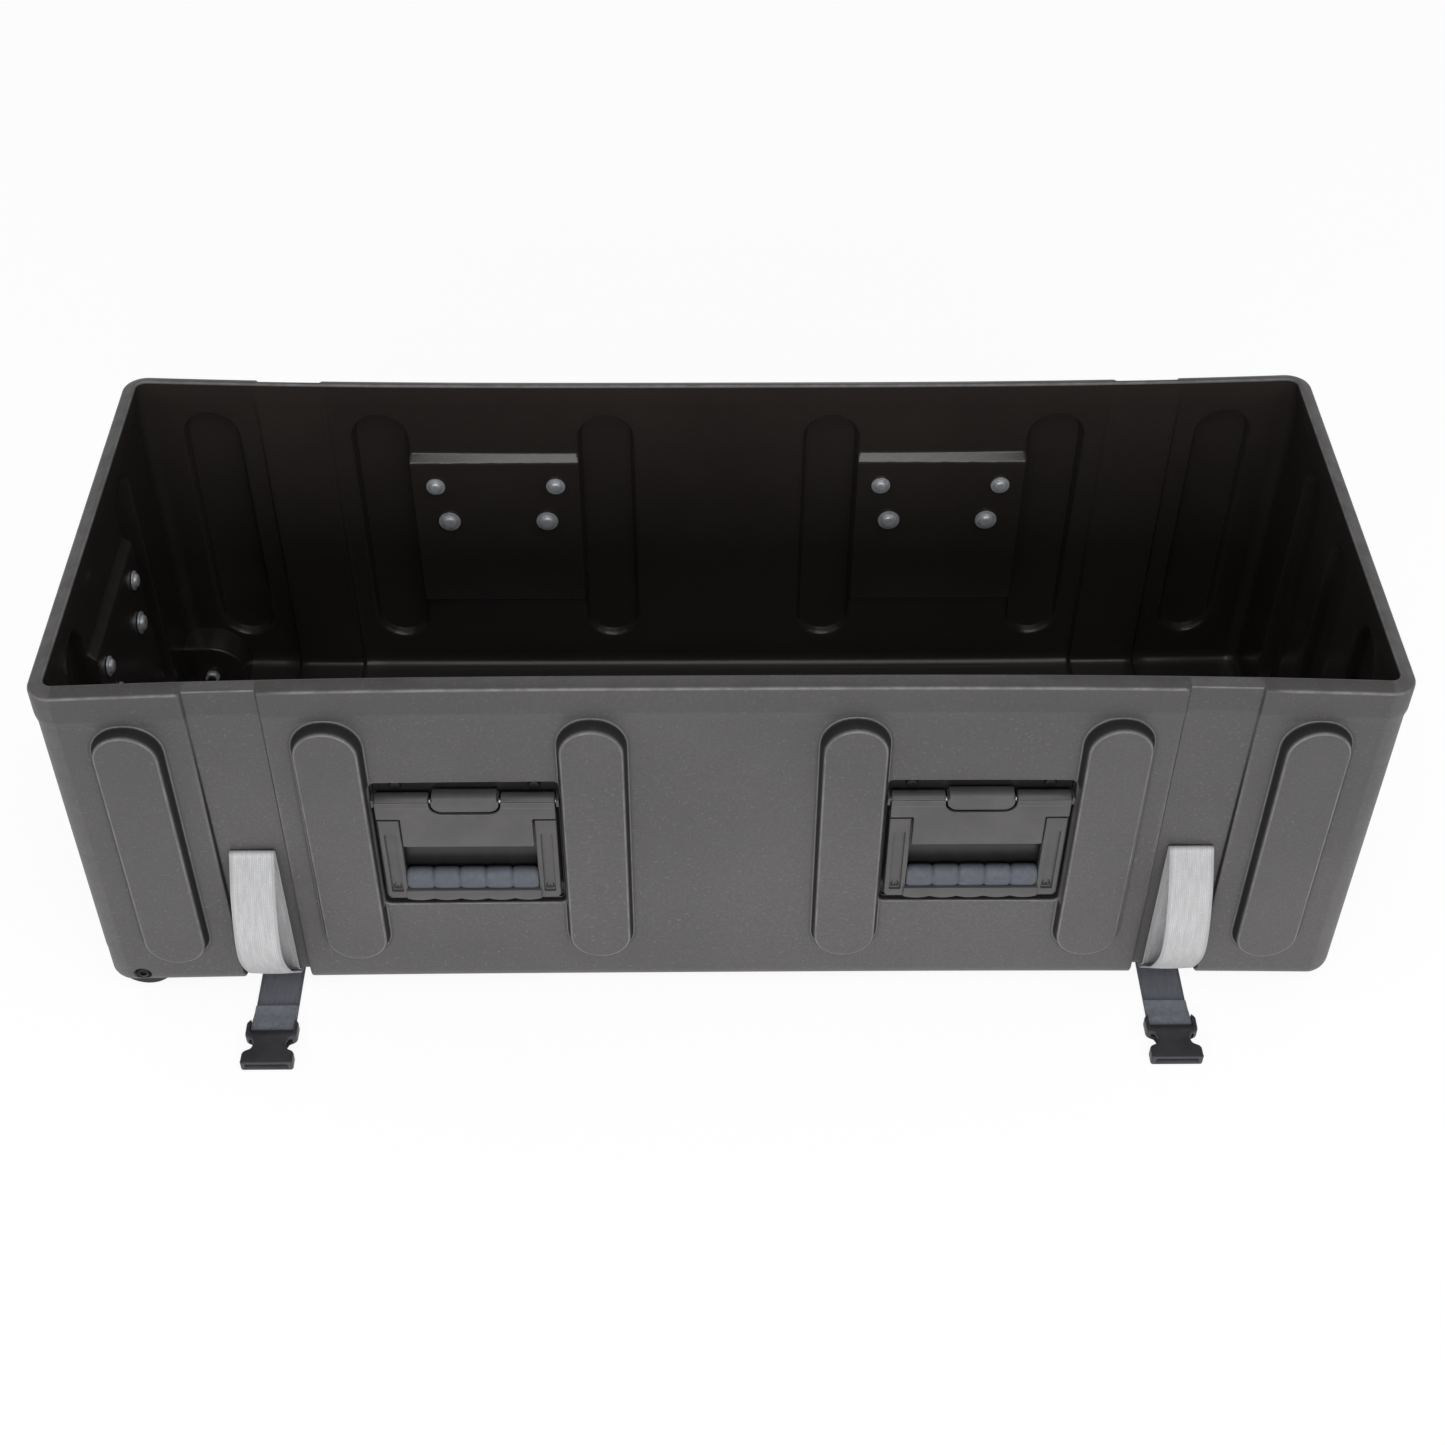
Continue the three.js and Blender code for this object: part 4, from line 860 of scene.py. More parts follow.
def tub_mesh(name, outer_material, inner_material):
    """The tub's closed sheet as one mesh."""
    points, edges = lay_out_tub()
    spots, _, faces, _, _, _ = delaunay_2d_cdt([Vector(p) for p in points], edges, [], 0, 1e-4)
    run, place = np.array(spots).T
    points, rub = (list(values) for values in shape_sheet(run, place))
    seam = {round(place[k], 3): k for k in range(len(spots)) if run[k] < TOLERANCE}
    same = {k: seam[round(place[k], 3)] for k in range(len(spots)) if run[k] > PERIMETER - TOLERANCE}
    faces = [tuple(same.get(i, i) for i in face) for face in faces]
    inside = [float(np.mean(place[list(face)])) > LIP_INNER + LIP_HIGHLIGHT_WIDTH for face in faces]
    for under, level in ((True, 0.0), (False, SECTION_RUN[-1])):
        ring = [k for k in range(len(spots)) if abs(place[k] - level) < TOLERANCE and k not in same]
        ring.sort(key=lambda k: run[k])
        made, closing = fill_ring(points, ring, under)
        points += made
        rub += [0.0] * len(made)
        faces += closing
        inside += [not under] * len(closing)
    used = sorted({i for face in faces for i in face})
    names = {old: new for new, old in enumerate(used)}
    faces = [tuple(names[i] for i in face) for face in faces]
    tub = new_object(name, [points[i] for i in used], faces, [outer_material, inner_material], CREASE)
    tub.data.polygons.foreach_set("material_index", [int(flag) for flag in inside])
    # Painted light kept on the points: painted highlight up to 1, painted shade down to -1
    store(tub.data, "rub", [rub[i] for i in used])
    return tub


def store(mesh, name, values):
    """Numbers kept on a mesh's points."""
    mesh.attributes.new(name, "FLOAT", "POINT").data.foreach_set("value", np.array(values, np.float32))


def skin_core(material):
    """The lower part of the space within the tub's skin."""
    margin = 3.2
    low, rise = WALL_INSET + margin, GROUND_GAP + margin
    levels = [(low + BOTTOM_ROUND * near, rise + BOTTOM_ROUND * far) for near, far in quarter(8)]
    rings = []
    for inset, z in levels + [(low, PAD_CENTRE)]:
        x, y = HALF_LENGTH - inset, HALF_WIDTH - inset
        rings.append([(a, b, z) for a, b in rounded_outline(-x, x, -y, y, max(0.5, CORNER - inset), 8)])
    return lofted("Skin core", rings, material)


def wheel_well(side, outer_material, inner_material):
    """The block round a wheel inside the tub, and the cutters of its well, bolt socket and axle holes."""
    axle_x, axle_z = AXLE
    near, far = WELL_FACES
    centre = (axle_x, 0.0, axle_z)
    face = wall_face("front", *AXLE)

    def outline(radius, end, low):
        points = [(axle_x + radius, low)] + corner_arc(axle_x, axle_z, radius, 0, 90, 10)
        return points + [(end, axle_z + radius), (end, low)]

    def mirrored(p):
        return (p[0], side * p[1], p[2])

    around = outline(WELL_RADIUS + WELL_WALL, -HALF_LENGTH, GROUND_GAP)
    block = slab("Well block", around, near - WELL_WALL, HALF_WIDTH, 3.0, inner_material, place=mirrored)
    carve(block, "INTERSECT", skin_core(inner_material))
    block.data.materials.clear()
    block.data.materials.append(outer_material)
    block.data.materials.append(inner_material)
    block.data.polygons.foreach_set("material_index", [1] * len(block.data.polygons))
    space = outline(WELL_RADIUS, -HALF_LENGTH - 30.0, -20.0)
    well = cutter(space, near, far, outer_material, place=mirrored)
    funnel = [(7.6, face - 6.2), (7.6, face - 1.0), (8.5, face + 0.2), (10.0, face + 12.0)]
    socket = turned("Socket", funnel, outer_material, 32, centre=centre)
    hole = turned("Axle hole", [(4.4, near - 20.0), (4.4, face - 1.0)], outer_material, 24, centre=centre)
    for piece in (socket, hole):
        piece.data.transform(Matrix.Diagonal((1, side, 1, 1)))
        outward(piece)
    return block, (well, socket, hole)


def handle_place(name):
    """Puts a point of a handle's own frame, with -Y out of the wall, in the case's frame."""
    wall, along = HANDLE_SPOTS[name]
    face = wall_face(wall, along, GROUND_GAP + HINGE_Z)
    x, y, turn = {"front": (along, -face, 0), "back": (along, face, 180), "left": (-face, along, -90)}[wall]
    return Matrix.Translation(Vector((x, y, GROUND_GAP)) * MM) @ Matrix.Rotation(math.radians(turn), 4, "Z")


def copied(master, name, place, body, *nodes, slot=None):
    """A copy of a master piece at a place, riding on a body for its CAD nodes."""
    mesh = master.data.copy()
    mesh.name = name
    mesh.transform(place)
    return attach(linked(name, mesh), body, *nodes, slot=slot)


def attach(piece, body, *nodes, slot=None):
    """Lets a piece ride on a body, for its CAD nodes; the slot's name is not used."""
    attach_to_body(piece, body)
    if nodes:
        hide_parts(*nodes)
    return piece


# Handle sizes, in the handle's own frame
HINGE_Y = -1.5
HINGE = (0.0, HINGE_Y, HINGE_Z)
BAIL_FRONT = -8.6
NOTCH_HALF = 29.5
NOTCH_LOW = 223.6
NOTCH_ROUND = 10.5
KNUCKLE_GAP = 1.6
PANEL_HALF = 54.5
PANEL_LOW = 185.0
PANEL_HIGH = 237.5
ARM_FRONT = BAIL_FRONT + 2.5
ARM_INNER = 55.9
ARM_OUTER = 74.0
ARM_LOW = 118.0
SCREW_Z = 130.6
SHOULDER_LOW = 218.0
GRIP_RADIUS = 11.4
GRIP_FLAT = 0.65
GRIP_RINGS = 5
GRIP_AXIS = (0.0, BAIL_FRONT + GRIP_RADIUS * GRIP_FLAT, 139.0)
PLATE_FRONT = 6.7
DISH_BACK = 8.8
DISH_HALF = RECESS_HALF - 0.4
EAR_REACH = 3.8
NUT_FACE = BUMP_DEPTH + 0.4
UPPER_BOLTS = ((-57.0, 245.0), (57.0, 245.0))
LOWER_BOLTS = ((-47.0, 203.0), (47.0, 203.0))
UPPER_NUT = 1.2
LOWER_NUT = 1.4


def bail_arm(material, side):
    """One side of a handle's moving half: its part of the roll, a grooved arm and the arm's screw."""
    low, high = sorted((side * NOTCH_HALF, side * ARM_OUTER))
    shape = [(6.0, low), (7.1, low + 0.4), (7.5, low + 1.4)]
    shape += [(7.5, high - 1.4), (7.1, high - 0.4), (6.0, high)]
    roll = turned("Roll", shape, material, 40, "x", HINGE)
    x0, x1 = sorted((side * ARM_INNER, side * ARM_OUTER))
    middle = (x0 + x1) / 2
    rounds = (2.0, 5.0)[::side]
    outline = softened(box_corners(x0, x1, ARM_LOW, SHOULDER_LOW + 1.6, *rounds, 1.4, 1.4), 5)
    arm = slab("Arm", outline, ARM_FRONT, BAIL_FRONT + 9.0, 1.1, material, 4)
    outline = softened(box_corners(x0, x1, ARM_LOW + 0.2, ARM_LOW + 32.0, *rounds, 2.5, 2.5), 5)
    carve(arm, "UNION", slab("Arm foot", outline, ARM_FRONT + 2.0, BAIL_FRONT + 13.0, 0.6, material, 2))
    groove = rounded_outline(middle - 5.0, middle + 5.0, 126.0, 198.0, 1.2, 3)
    slot = rounded_outline(x0 - 2.0, x1 + 2.0, 213.8, 217.4, 0.4, 1)
    spot = (middle, 0.0, SCREW_Z)
    well = [(3.6, -30.0), (3.6, ARM_FRONT + 4.6), (2.6, ARM_FRONT + 5.0)]
    carve(
        arm,
        "DIFFERENCE",
        cutter(groove, ARM_FRONT - 8.0, ARM_FRONT + 3.2, material, 0.6),
        cutter(slot, ARM_FRONT - 8.0, ARM_FRONT + 5.4, material),
        turned("Screw well", well, material, 20, centre=spot),
    )
    shape = ((2.9, 5.2), (2.9, 3.6), (2.3, 3.1), (1.0, 3.0), (0.9, 4.0), (0.2, 4.2))
    screw = [(radius, ARM_FRONT + deep) for radius, deep in shape]
    return roll, arm, turned("Arm screw", screw, material, 20, centre=spot)


def bail_master(material):
    """The moving half of a handle: notched panel, roll, two grooved arms and a scalloped bar."""
    right = [
        (PANEL_HALF, PANEL_LOW, 1.6),
        (PANEL_HALF, SHOULDER_LOW, 1.2),
        (ARM_OUTER, SHOULDER_LOW, 0.8),
        (ARM_OUTER, PANEL_HIGH, 0.8),
        (NOTCH_HALF, PANEL_HIGH, 0.8),
        (NOTCH_HALF, NOTCH_LOW, NOTCH_ROUND),
    ]
    plate = slab("Panel", softened(both_sides(right), 6), BAIL_FRONT, BAIL_FRONT + 5.0, 0.7, material)
    room = rounded_outline(0.3 - NOTCH_HALF, NOTCH_HALF - 0.3, 221.5, 260.0, 1.0, 2)
    carve(plate, "DIFFERENCE", cutter(room, BAIL_FRONT + 2.0, 20.0, material))
    half = ARM_INNER + 1.6
    step = 2 * half / GRIP_RINGS
    low = ARM_LOW + 1.4
    scallops = [(t, low - 8.8 * t * (1 - t)) for t in (k / 8 for k in range(8))]
    lower = [(step * (ring + t) - half, z) for ring in range(GRIP_RINGS) for t, z in scallops]
    outline = lower + [(half, low), (half, low + 10.0), (-half, low + 10.0)]
    bar = slab("Bar", outline, BAIL_FRONT, BAIL_FRONT + 8.0, 0.9, material)
    core = turned("Core", [(5.2, -half), (5.2, half)], material, 28, "x", GRIP_AXIS, GRIP_FLAT)
    return merge("Bail master", plate, *bail_arm(material, -1), *bail_arm(material, 1), bar, core)


def both_sides(right):
    """A right half from bottom to top, followed by its mirror image from top to bottom."""
    return right + [(-corner[0], *corner[1:]) for corner in reversed(right)]


def dish_master(material, shaded_tray_material):
    """The fixed half of a handle: tray with a fine rim, ears and the flat-faced middle knuckle."""
    low, high = RECESS_LOW + 0.4, RECESS_HIGH - 0.4
    profile = (
        (0.0, DISH_BACK), (0.0, 3.5), (0.15, 3.15), (0.5, 3.0), (1.0, 3.05), (1.35, 3.35), (1.4, 3.8),
        (1.4, 5.4), (1.8, 6.3), (2.8, PLATE_FRONT), (6.0, PLATE_FRONT),
    )
    rings = []
    for d, depth in profile:
        box = rounded_outline(d - DISH_HALF, DISH_HALF - d, low + d, high - d, max(0.8, RECESS_ROUND - d), 6)
        rings.append([(x, depth, z) for x, z in box])
    # The tray is made in the darker tray finish: painted shade in the handle recess
    tray = lofted("Tray", rings, shaded_tray_material)
    ears = []
    for side in (-1, 1):
        x0, x1 = sorted((side * (DISH_HALF - 2.4), side * DISH_HALF))
        ear = softened(box_corners(x0, x1, HINGE_Z - EAR_REACH, HINGE_Z + EAR_REACH, 0.5, 0.5, 0.5, 0.5), 2)
        ears.append(slab("Ear", ear, HINGE_Y - EAR_REACH, DISH_BACK - 1.0, 0.4, material))
    half = NOTCH_HALF - KNUCKLE_GAP
    neck = half - 1.5
    radius = NOTCH_ROUND - KNUCKLE_GAP
    bend = corner_arc(half - radius, NOTCH_LOW + KNUCKLE_GAP + radius, radius, -90, 0, 8)
    outline = both_sides(bend + [(half, 236.8), (neck, 238.0), (neck, 243.4)])
    tongue = slab("Tongue", outline, BAIL_FRONT + 1.4, 5.6, 0.6, material)
    shape = [(10.0, -half - 1.0), (10.35, 0.6 - half), (10.35, half - 0.6), (10.0, half + 1.0)]
    stem = rounded_outline(-20.4, 20.4, HINGE_Z - 5.6, HINGE_Z + 5.6, 1.0, 2)
    room = rounded_outline(-9.0, 9.0, 214.0, 236.8, 0.8, 2)
    carve(tongue, "INTERSECT", turned("Drum", shape, material, 64, "x", HINGE))
    carve(tongue, "UNION", cutter(stem, 1.0, DISH_BACK - 1.0, material))
    carve(tongue, "DIFFERENCE", cutter(room, HINGE_Y - 3.9, 20.0, material))
    return merge("Dish master", tray, tongue, *ears)


def grip_master(material):
    """Rubber sleeve of five barrel-shaped rings, flattened to an oval."""
    half = ARM_INNER - 0.4
    step = 2 * half / GRIP_RINGS
    bore = 5.97
    barrel = (
        (0.0, 1.9), (0.02, 1.55), (0.05, 0.85), (0.1, 0.35), (0.18, 0.1), (0.35, 0.0),
        (0.65, 0.0), (0.82, 0.1), (0.9, 0.35), (0.95, 0.85), (0.98, 1.55),
    )
    profile = [(bore, -half)]
    for ring in range(GRIP_RINGS):
        profile += [(GRIP_RADIUS - drop, step * (ring + t) - half) for t, drop in barrel]
    profile += [(GRIP_RADIUS - 1.9, half), (bore, half), (bore, -half)]
    return turned("Grip master", profile, material, 44, "x", GRIP_AXIS, GRIP_FLAT)


def pin_master(material):
    profile = [(1.5, -DISH_HALF), (2.0, 0.5 - DISH_HALF), (2.0, DISH_HALF - 0.5), (1.5, DISH_HALF)]
    return turned("Pin master", profile, material, 20, "x", HINGE)


def bolt_set(head_material, nut_material):
    """A handle's four bolts: dished heads in the tray, and washers and domed nuts, larger ones below."""
    shape = [(0.4, 4.35), (1.4, 4.3), (1.6, 3.75), (2.9, 3.7), (4.4, 4.3), (5.1, 5.4)]
    head = turned("Bolt head master", shape + [(5.2, 6.25), (0.4, 6.3)], head_material, 24)
    domed = (
        (2.5, 0.0), (7.1, 0.0), (7.5, 0.4), (7.4, 1.4), (6.9, 1.6), (5.3, 1.6), (5.2, 2.9), (4.5, 3.8),
        (3.0, 4.3), (0.5, 4.4),
    )
    shape = [(2.5, 8.0)] + [(radius, NUT_FACE + rise) for radius, rise in domed]
    nut = turned("Bolt nut master", shape, nut_material, 24)
    scatter = scatter_tree()
    pieces = []
    for spots, master, size, material, deep in (
        (UPPER_BOLTS + LOWER_BOLTS, head, 1.0, head_material, 0.0),
        (UPPER_BOLTS, nut, UPPER_NUT, nut_material, NUT_FACE),
        (LOWER_BOLTS, nut, LOWER_NUT, nut_material, NUT_FACE),
    ):
        points = [(x, deep * (1 - size), z) for x, z in spots]
        pieces.append(grown("Bolts", points, [], scatter, Master=master, Size=size, Material=material))
    discard(head, nut)
    return merge("Bolt set", *pieces)


# Geometry node trees
class Growth(Tree):
    """A geometry node tree in the making, with named inputs and a material."""

    def __init__(self, name, **inputs):
        self.tree = bpy.data.node_groups.new(name, "GeometryNodeTree")
        self.tree.is_modifier = True
        sockets = self.tree.interface
        sockets.new_socket("Geometry", in_out="INPUT", socket_type="NodeSocketGeometry")
        for label, (kind, default) in {**inputs, "Material": ("Material", None)}.items():
            socket = sockets.new_socket(label, in_out="INPUT", socket_type=f"NodeSocket{kind}")
            if default is not None:
                socket.default_value = default
        sockets.new_socket("Geometry", in_out="OUTPUT", socket_type="NodeSocketGeometry")
        self.entry = self.tree.nodes.new("NodeGroupInput").outputs
        self.exit = self.tree.nodes.new("NodeGroupOutput").inputs

    def curve(self):
        """The piece's edges as a curve."""
        return self.node("GeometryNodeMeshToCurve", {"Mesh": self.entry["Geometry"]})[0]

    def master(self, label):
        """The geometry of a master piece that is one of the inputs."""
        sockets = {"Object": self.entry[label], "As Instance": True}
        return self.node("GeometryNodeObjectInfo", sockets)["Geometry"]

    def laid(self, points, instance, **more):
        sockets = {"Points": points, "Instance": instance, **more}
        return self.node("GeometryNodeInstanceOnPoints", sockets)[0]

    def facing(self, vector):
        return self.node("FunctionNodeAlignRotationToVector", {"Vector": vector}, axis="X")[0]

    def close(self, shape):
        """Real geometry with the tree's material."""
        real = self.node("GeometryNodeRealizeInstances", {"Geometry": shape})[0]
        done = self.node("GeometryNodeSetMaterial", {"Geometry": real, "Material": self.entry["Material"]})
        self.tree.links.new(done[0], self.exit[0])
        return self.tree


def tube_tree():
    """A round tube along a line of points."""
    grow = Growth("Tube along a path", Radius=("Float", 0.5 * MM), Sides=("Int", 8))
    sockets = {"Resolution": grow.entry["Sides"], "Radius": grow.entry["Radius"]}
    ring = grow.node("GeometryNodeCurvePrimitiveCircle", sockets)[0]
    sockets = {"Curve": grow.curve(), "Profile Curve": ring, "Fill Caps": True}
    return grow.close(grow.node("GeometryNodeCurveToMesh", sockets)[0])


def stitch_tree():
    """Thread stitches at an even pitch along a line of points."""
    inputs = {"Pitch": ("Float", 2.6 * MM), "Length": ("Float", 1.9 * MM), "Thickness": ("Float", 0.5 * MM)}
    grow = Growth("Stitches along a path", **inputs)
    long, thick = grow.entry["Length"], grow.entry["Thickness"]
    sockets = {"Curve": grow.curve(), "Length": grow.entry["Pitch"]}
    even = grow.node("GeometryNodeResampleCurve", sockets, mode="LENGTH")[0]
    turn = grow.facing(grow.node("GeometryNodeInputTangent")[0])
    thread = grow.node("GeometryNodeMeshUVSphere", {"Segments": 8, "Rings": 5, "Radius": 0.5})["Mesh"]
    size = grow.node("ShaderNodeCombineXYZ", {"X": long, "Y": thick, "Z": thick})[0]
    return grow.close(grow.laid(even, thread, Rotation=turn, Scale=size))


def scatter_tree():
    """A master piece set on each point."""
    grow = Growth("Pieces on points", Master=("Object", None), Size=("Float", 1.0))
    return grow.close(grow.laid(grow.entry["Geometry"], grow.master("Master"), Scale=grow.entry["Size"]))


def rib_tree():
    """Ribs set evenly round an axle that runs along Y."""
    grow = Growth("Ribs round an axle", Count=("Int", 6), Reach=("Float", 11.0 * MM), Rib=("Object", None))
    sockets = {"Vertices": grow.entry["Count"], "Radius": grow.entry["Reach"]}
    ring = grow.node("GeometryNodeMeshCircle", sockets)[0]
    turn = grow.facing(grow.node("GeometryNodeInputPosition")[0])
    laid = grow.laid(ring, grow.master("Rib"), Rotation=turn)
    upright = grow.node("GeometryNodeTransform", {"Geometry": laid, "Rotation": (math.pi / 2, 0.0, 0.0)})[0]
    both = grow.node("GeometryNodeJoinGeometry")[0]
    for part in (grow.entry["Geometry"], upright):
        grow.tree.links.new(part, both.node.inputs[0])
    return grow.close(both)


def grown(name, points, edges, tree, **values):
    """A tree run on points and edges in millimetres, as plain mesh."""
    return grow_on(new_object(name, points, [], [], edges=edges), tree, **values)


def grow_on(piece, tree, **values):
    """Runs a tree on a piece and keeps the result as plain mesh."""
    growth = piece.modifiers.new("Growth", "NODES")
    growth.node_group = tree
    for item in tree.interface.items_tree:
        if item.in_out == "INPUT" and item.name in values:
            growth[item.identifier] = values[item.name]
    settle(piece)
    shade(piece.data, CREASE)
    return piece


def spring_points(turns=3, radius=3.1, pitch=2.4, leg=18.0, steps=20):
    """A torsion spring's wire round the hinge pin, with one leg down the tray."""
    points = []
    count = turns * steps
    for i in range(count + 1):
        angle = 2 * math.pi * i / steps
        x = (i / count - 0.5) * turns * pitch
        points.append((x, HINGE_Y + radius * math.cos(angle), HINGE_Z - radius * math.sin(angle)))
    return points + [(turns * pitch / 2, HINGE_Y + radius, HINGE_Z - leg * k / 4) for k in range(1, 5)]


# Wheels, with the middle of the tread at Y = 0
NUT_TOP = WELL_FACES[0] - WELL_WALL - 0.4
NUT_DEEP = 6.5


def even_profile(side):
    """A closed ring's profile from one side of it, mirrored in the middle of the tread."""
    return side + [(radius, -along) for radius, along in reversed(side)] + side[:1]


def tyre_master(material):
    side = [
        (17.5, -10.3), (20.9, -11.9), (22.2, -12.0), (23.9, -11.2), (25.2, -9.6), (25.9, -7.4), (26.0, -4.6),
        (25.7, -4.35), (25.2, -4.2), (25.2, -3.6), (25.7, -3.45), (26.0, -3.2),
    ]
    return turned("Tyre master", even_profile(side), material, 72)


def hub_master(material, ribs):
    side = [
        (4.4, -12.0), (8.4, -12.0), (9.0, -11.4), (9.2, -4.4), (10.2, -3.5), (13.2, -3.5), (14.0, -4.2),
        (14.6, -8.9), (15.2, -9.5), (16.6, -9.5), (17.1, -9.0),
    ]
    hub = turned("Hub master", even_profile(side), material, 56)
    rib = slab("Rib", rounded_outline(-3.6, 3.6, -0.9, 0.9, 0.5, 2), -8.4, 8.4, 0.4, material, 2, 0.4)
    rib.data.transform(Matrix.Rotation(math.pi / 2, 4, "X"))
    grow_on(hub, ribs, Count=case_sizes().hub_ribs, Reach=11.8 * MM, Rib=rib, Material=material)
    discard(rib)
    return hub


def axle_master(material):
    back = wall_face("front", *AXLE) - 5.8
    tip = NUT_TOP - NUT_DEEP - 2.0
    head = (
        (4.0, 0.0), (6.1, 0.0), (6.5, 0.5), (6.45, 2.2), (5.7, 3.7), (4.2, 4.6), (2.6, 4.95), (2.4, 3.0),
        (0.4, 2.9),
    )
    profile = [(3.2, tip), (4.0, tip + 0.8)] + [(radius, back + along) for radius, along in head]
    return turned("Axle master", profile, material, 32)


def nut_master(material):
    """Hexagon nut with turned corners."""
    top, low = NUT_TOP, NUT_TOP - NUT_DEEP
    nut = turned("Nut master", [(4.4, low), (7.4, low), (7.4, top), (4.4, top), (4.4, low)], material, 6)
    shape = [(6.4, low - 0.1), (7.5, low + 1.4), (7.5, top - 1.4), (6.4, top + 0.1)]
    return carve(nut, "INTERSECT", turned("Drum", shape, material))


# Straps
WEB_WIDTH = 38.0
WEB_HALF = 0.9
WEB_GAP = 0.4
WEB_SECTION = (
    (-0.5, 0.0), (-0.498, 0.5), (-0.49, 0.85), (-0.472, 1.0), (-0.455, 0.86), (-0.2, 0.9), (0.0, 0.92),
    (0.2, 0.9), (0.455, 0.86), (0.472, 1.0), (0.49, 0.85), (0.498, 0.5),
)
LOOP_TOP = 178.0
LOOP_FOLD = 2.6
FADED_END = 0.029
SEAM = (2.0, 9.0)
BAR_REACH = {"tail": 42.0, "back": 40.0}
BAR_HALF = 2.3


def curve_through(points, count):
    """Even points on a smooth curve through the given points."""
    dense = []
    total = len(points) - 1
    for step in range(total * 24 + 1):
        i = min(step // 24, total - 1)
        t = step / 24 - i
        p0, p1, p2, p3 = (Vector(points[min(max(i + k, 0), total)]) for k in (-1, 0, 1, 2))
        v0, v1 = (p2 - p0) / 2, (p3 - p1) / 2
        cubic, square = 2 * p1 - 2 * p2 + v0 + v1, -3 * p1 + 3 * p2 - 2 * v0 - v1
        dense.append(cubic * t**3 + square * t**2 + v0 * t + p1)
    return spaced(dense, count)


def spaced(points, count):
    """The same line with count even steps."""
    run = runs_along(points)
    even = np.linspace(0.0, run[-1], count + 1)
    return list(zip(*(np.interp(even, run, column).tolist() for column in np.array(points).T)))


def strap_path(x):
    """The long strap in Y and Z: slack loop in front, under the floor, and out behind to the plug."""
    low = CHANNEL_LOW * (1 - float(bow_at(x, GROUND_GAP)) / HALF_WIDTH)
    high = CHANNEL_HIGH * (1 - float(bow_at(x, RIM)) / HALF_WIDTH)
    lift = WEB_GAP + WEB_HALF
    radius = CHANNEL_ROUND + lift
    under = GROUND_GAP + CHANNEL_LIFT - lift
    face_low = low + lift
    face_top = low + (high - low) * (LOOP_TOP - GROUND_GAP) / (RIM - GROUND_GAP) + lift
    centre = face_top + LOOP_FOLD
    path = curve_through([
        (-centre - LOOP_FOLD, LOOP_TOP),
        (-centre - 27.0, LOOP_TOP * 0.8),
        (-centre - 41.0, 96.0),
        (-centre - 26.0, 55.0),
        (-centre - 1.5, 24.0),
        (-centre + 13.0, 9.0),
        (-low + 38.0, 4.4),
        (-low + 62.0, 4.4),
    ], 96)[::-1]
    path += corner_arc(-centre, LOOP_TOP, LOOP_FOLD, 180, 0, 12)[1:]
    down = [(-face_top, LOOP_TOP), (-(face_top + face_low) / 2 - 0.1, 105.0), (-face_low, under + radius)]
    path += curve_through(down, 30)[1:]
    path += corner_arc(radius - face_low, under + radius, radius, 180, 270, 12)[1:]
    start, end = face_low - radius, HALF_WIDTH
    path += spaced([path[-1], (start - 46.0, under)], 60)[1:]
    middle = (start + end) / 2
    ends = ((start - 23.0, under), (middle, under), (middle, WEB_HALF), (end, WEB_HALF))
    for t in (k / 24 for k in range(25)):
        weights = ((1 - t) ** 3, 3 * (1 - t) ** 2 * t, 3 * (1 - t) * t**2, t**3)
        path.append(tuple(sum(weight * spot[k] for weight, spot in zip(weights, ends)) for k in (0, 1)))
    return path + fold_path(HALF_WIDTH + BAR_REACH["back"])


def fold_path(bar):
    """Along the ground, round a buckle's bar and back over the strap."""
    height = 2 * WEB_HALF + WEB_GAP + 1.7
    lower = WEB_HALF * 3 + WEB_GAP
    path = corner_arc(bar + BAR_HALF - WEB_GAP, height, height - WEB_HALF, -90, 90, 16)
    back = [(bar - 4.6, 2 * height - WEB_HALF - 0.1), (bar - 15.6, lower + 0.9), (bar - 26.0, lower)]
    return path + curve_through(path[-1:] + back, 14)[1:]


def tail_path():
    path = spaced([(HALF_WIDTH - 60.0, WEB_HALF), (HALF_WIDTH + 30.0, WEB_HALF)], 30)
    return [(-y, z) for y, z in path + fold_path(HALF_WIDTH + BAR_REACH["tail"])]


def across_path(path, i):
    """Direction across a path at one of its points."""
    ahead = Vector(path[min(i + 1, len(path) - 1)]) - Vector(path[max(i - 1, 0)])
    ahead.normalize()
    return Vector((-ahead.y, ahead.x))


def strip(name, path, centre, material, crown=0.0):
    """A strip of webbing along a path in Y and Z, with rounded selvedges and a map in metres."""
    section = WEB_SECTION + tuple((-x, -up) for x, up in WEB_SECTION)
    rings, maps = [], []
    runs = runs_along(path)
    for i, (y, z) in enumerate(path):
        normal = across_path(path, i)
        swell = crown * math.sin(math.pi * min(1.0, runs[i] / 230.0))
        ring = []
        for across, up in section:
            lift = up * WEB_HALF - swell * (2 * across) ** 2
            ring.append((centre + across * WEB_WIDTH, y + normal.x * lift, z + normal.y * lift))
            maps.append((across * WEB_WIDTH * MM, runs[i] * MM))
        rings.append(ring)
    piece = lofted(name, rings, material)
    store(piece.data, "faded", [along > runs[-1] * MM - FADED_END for _, along in maps])
    layer = piece.data.uv_layers.new(name="web")
    for loop in piece.data.loops:
        layer.data[loop.index].uv = maps[loop.vertex_index]
    shade(piece.data, 50.0)
    return piece


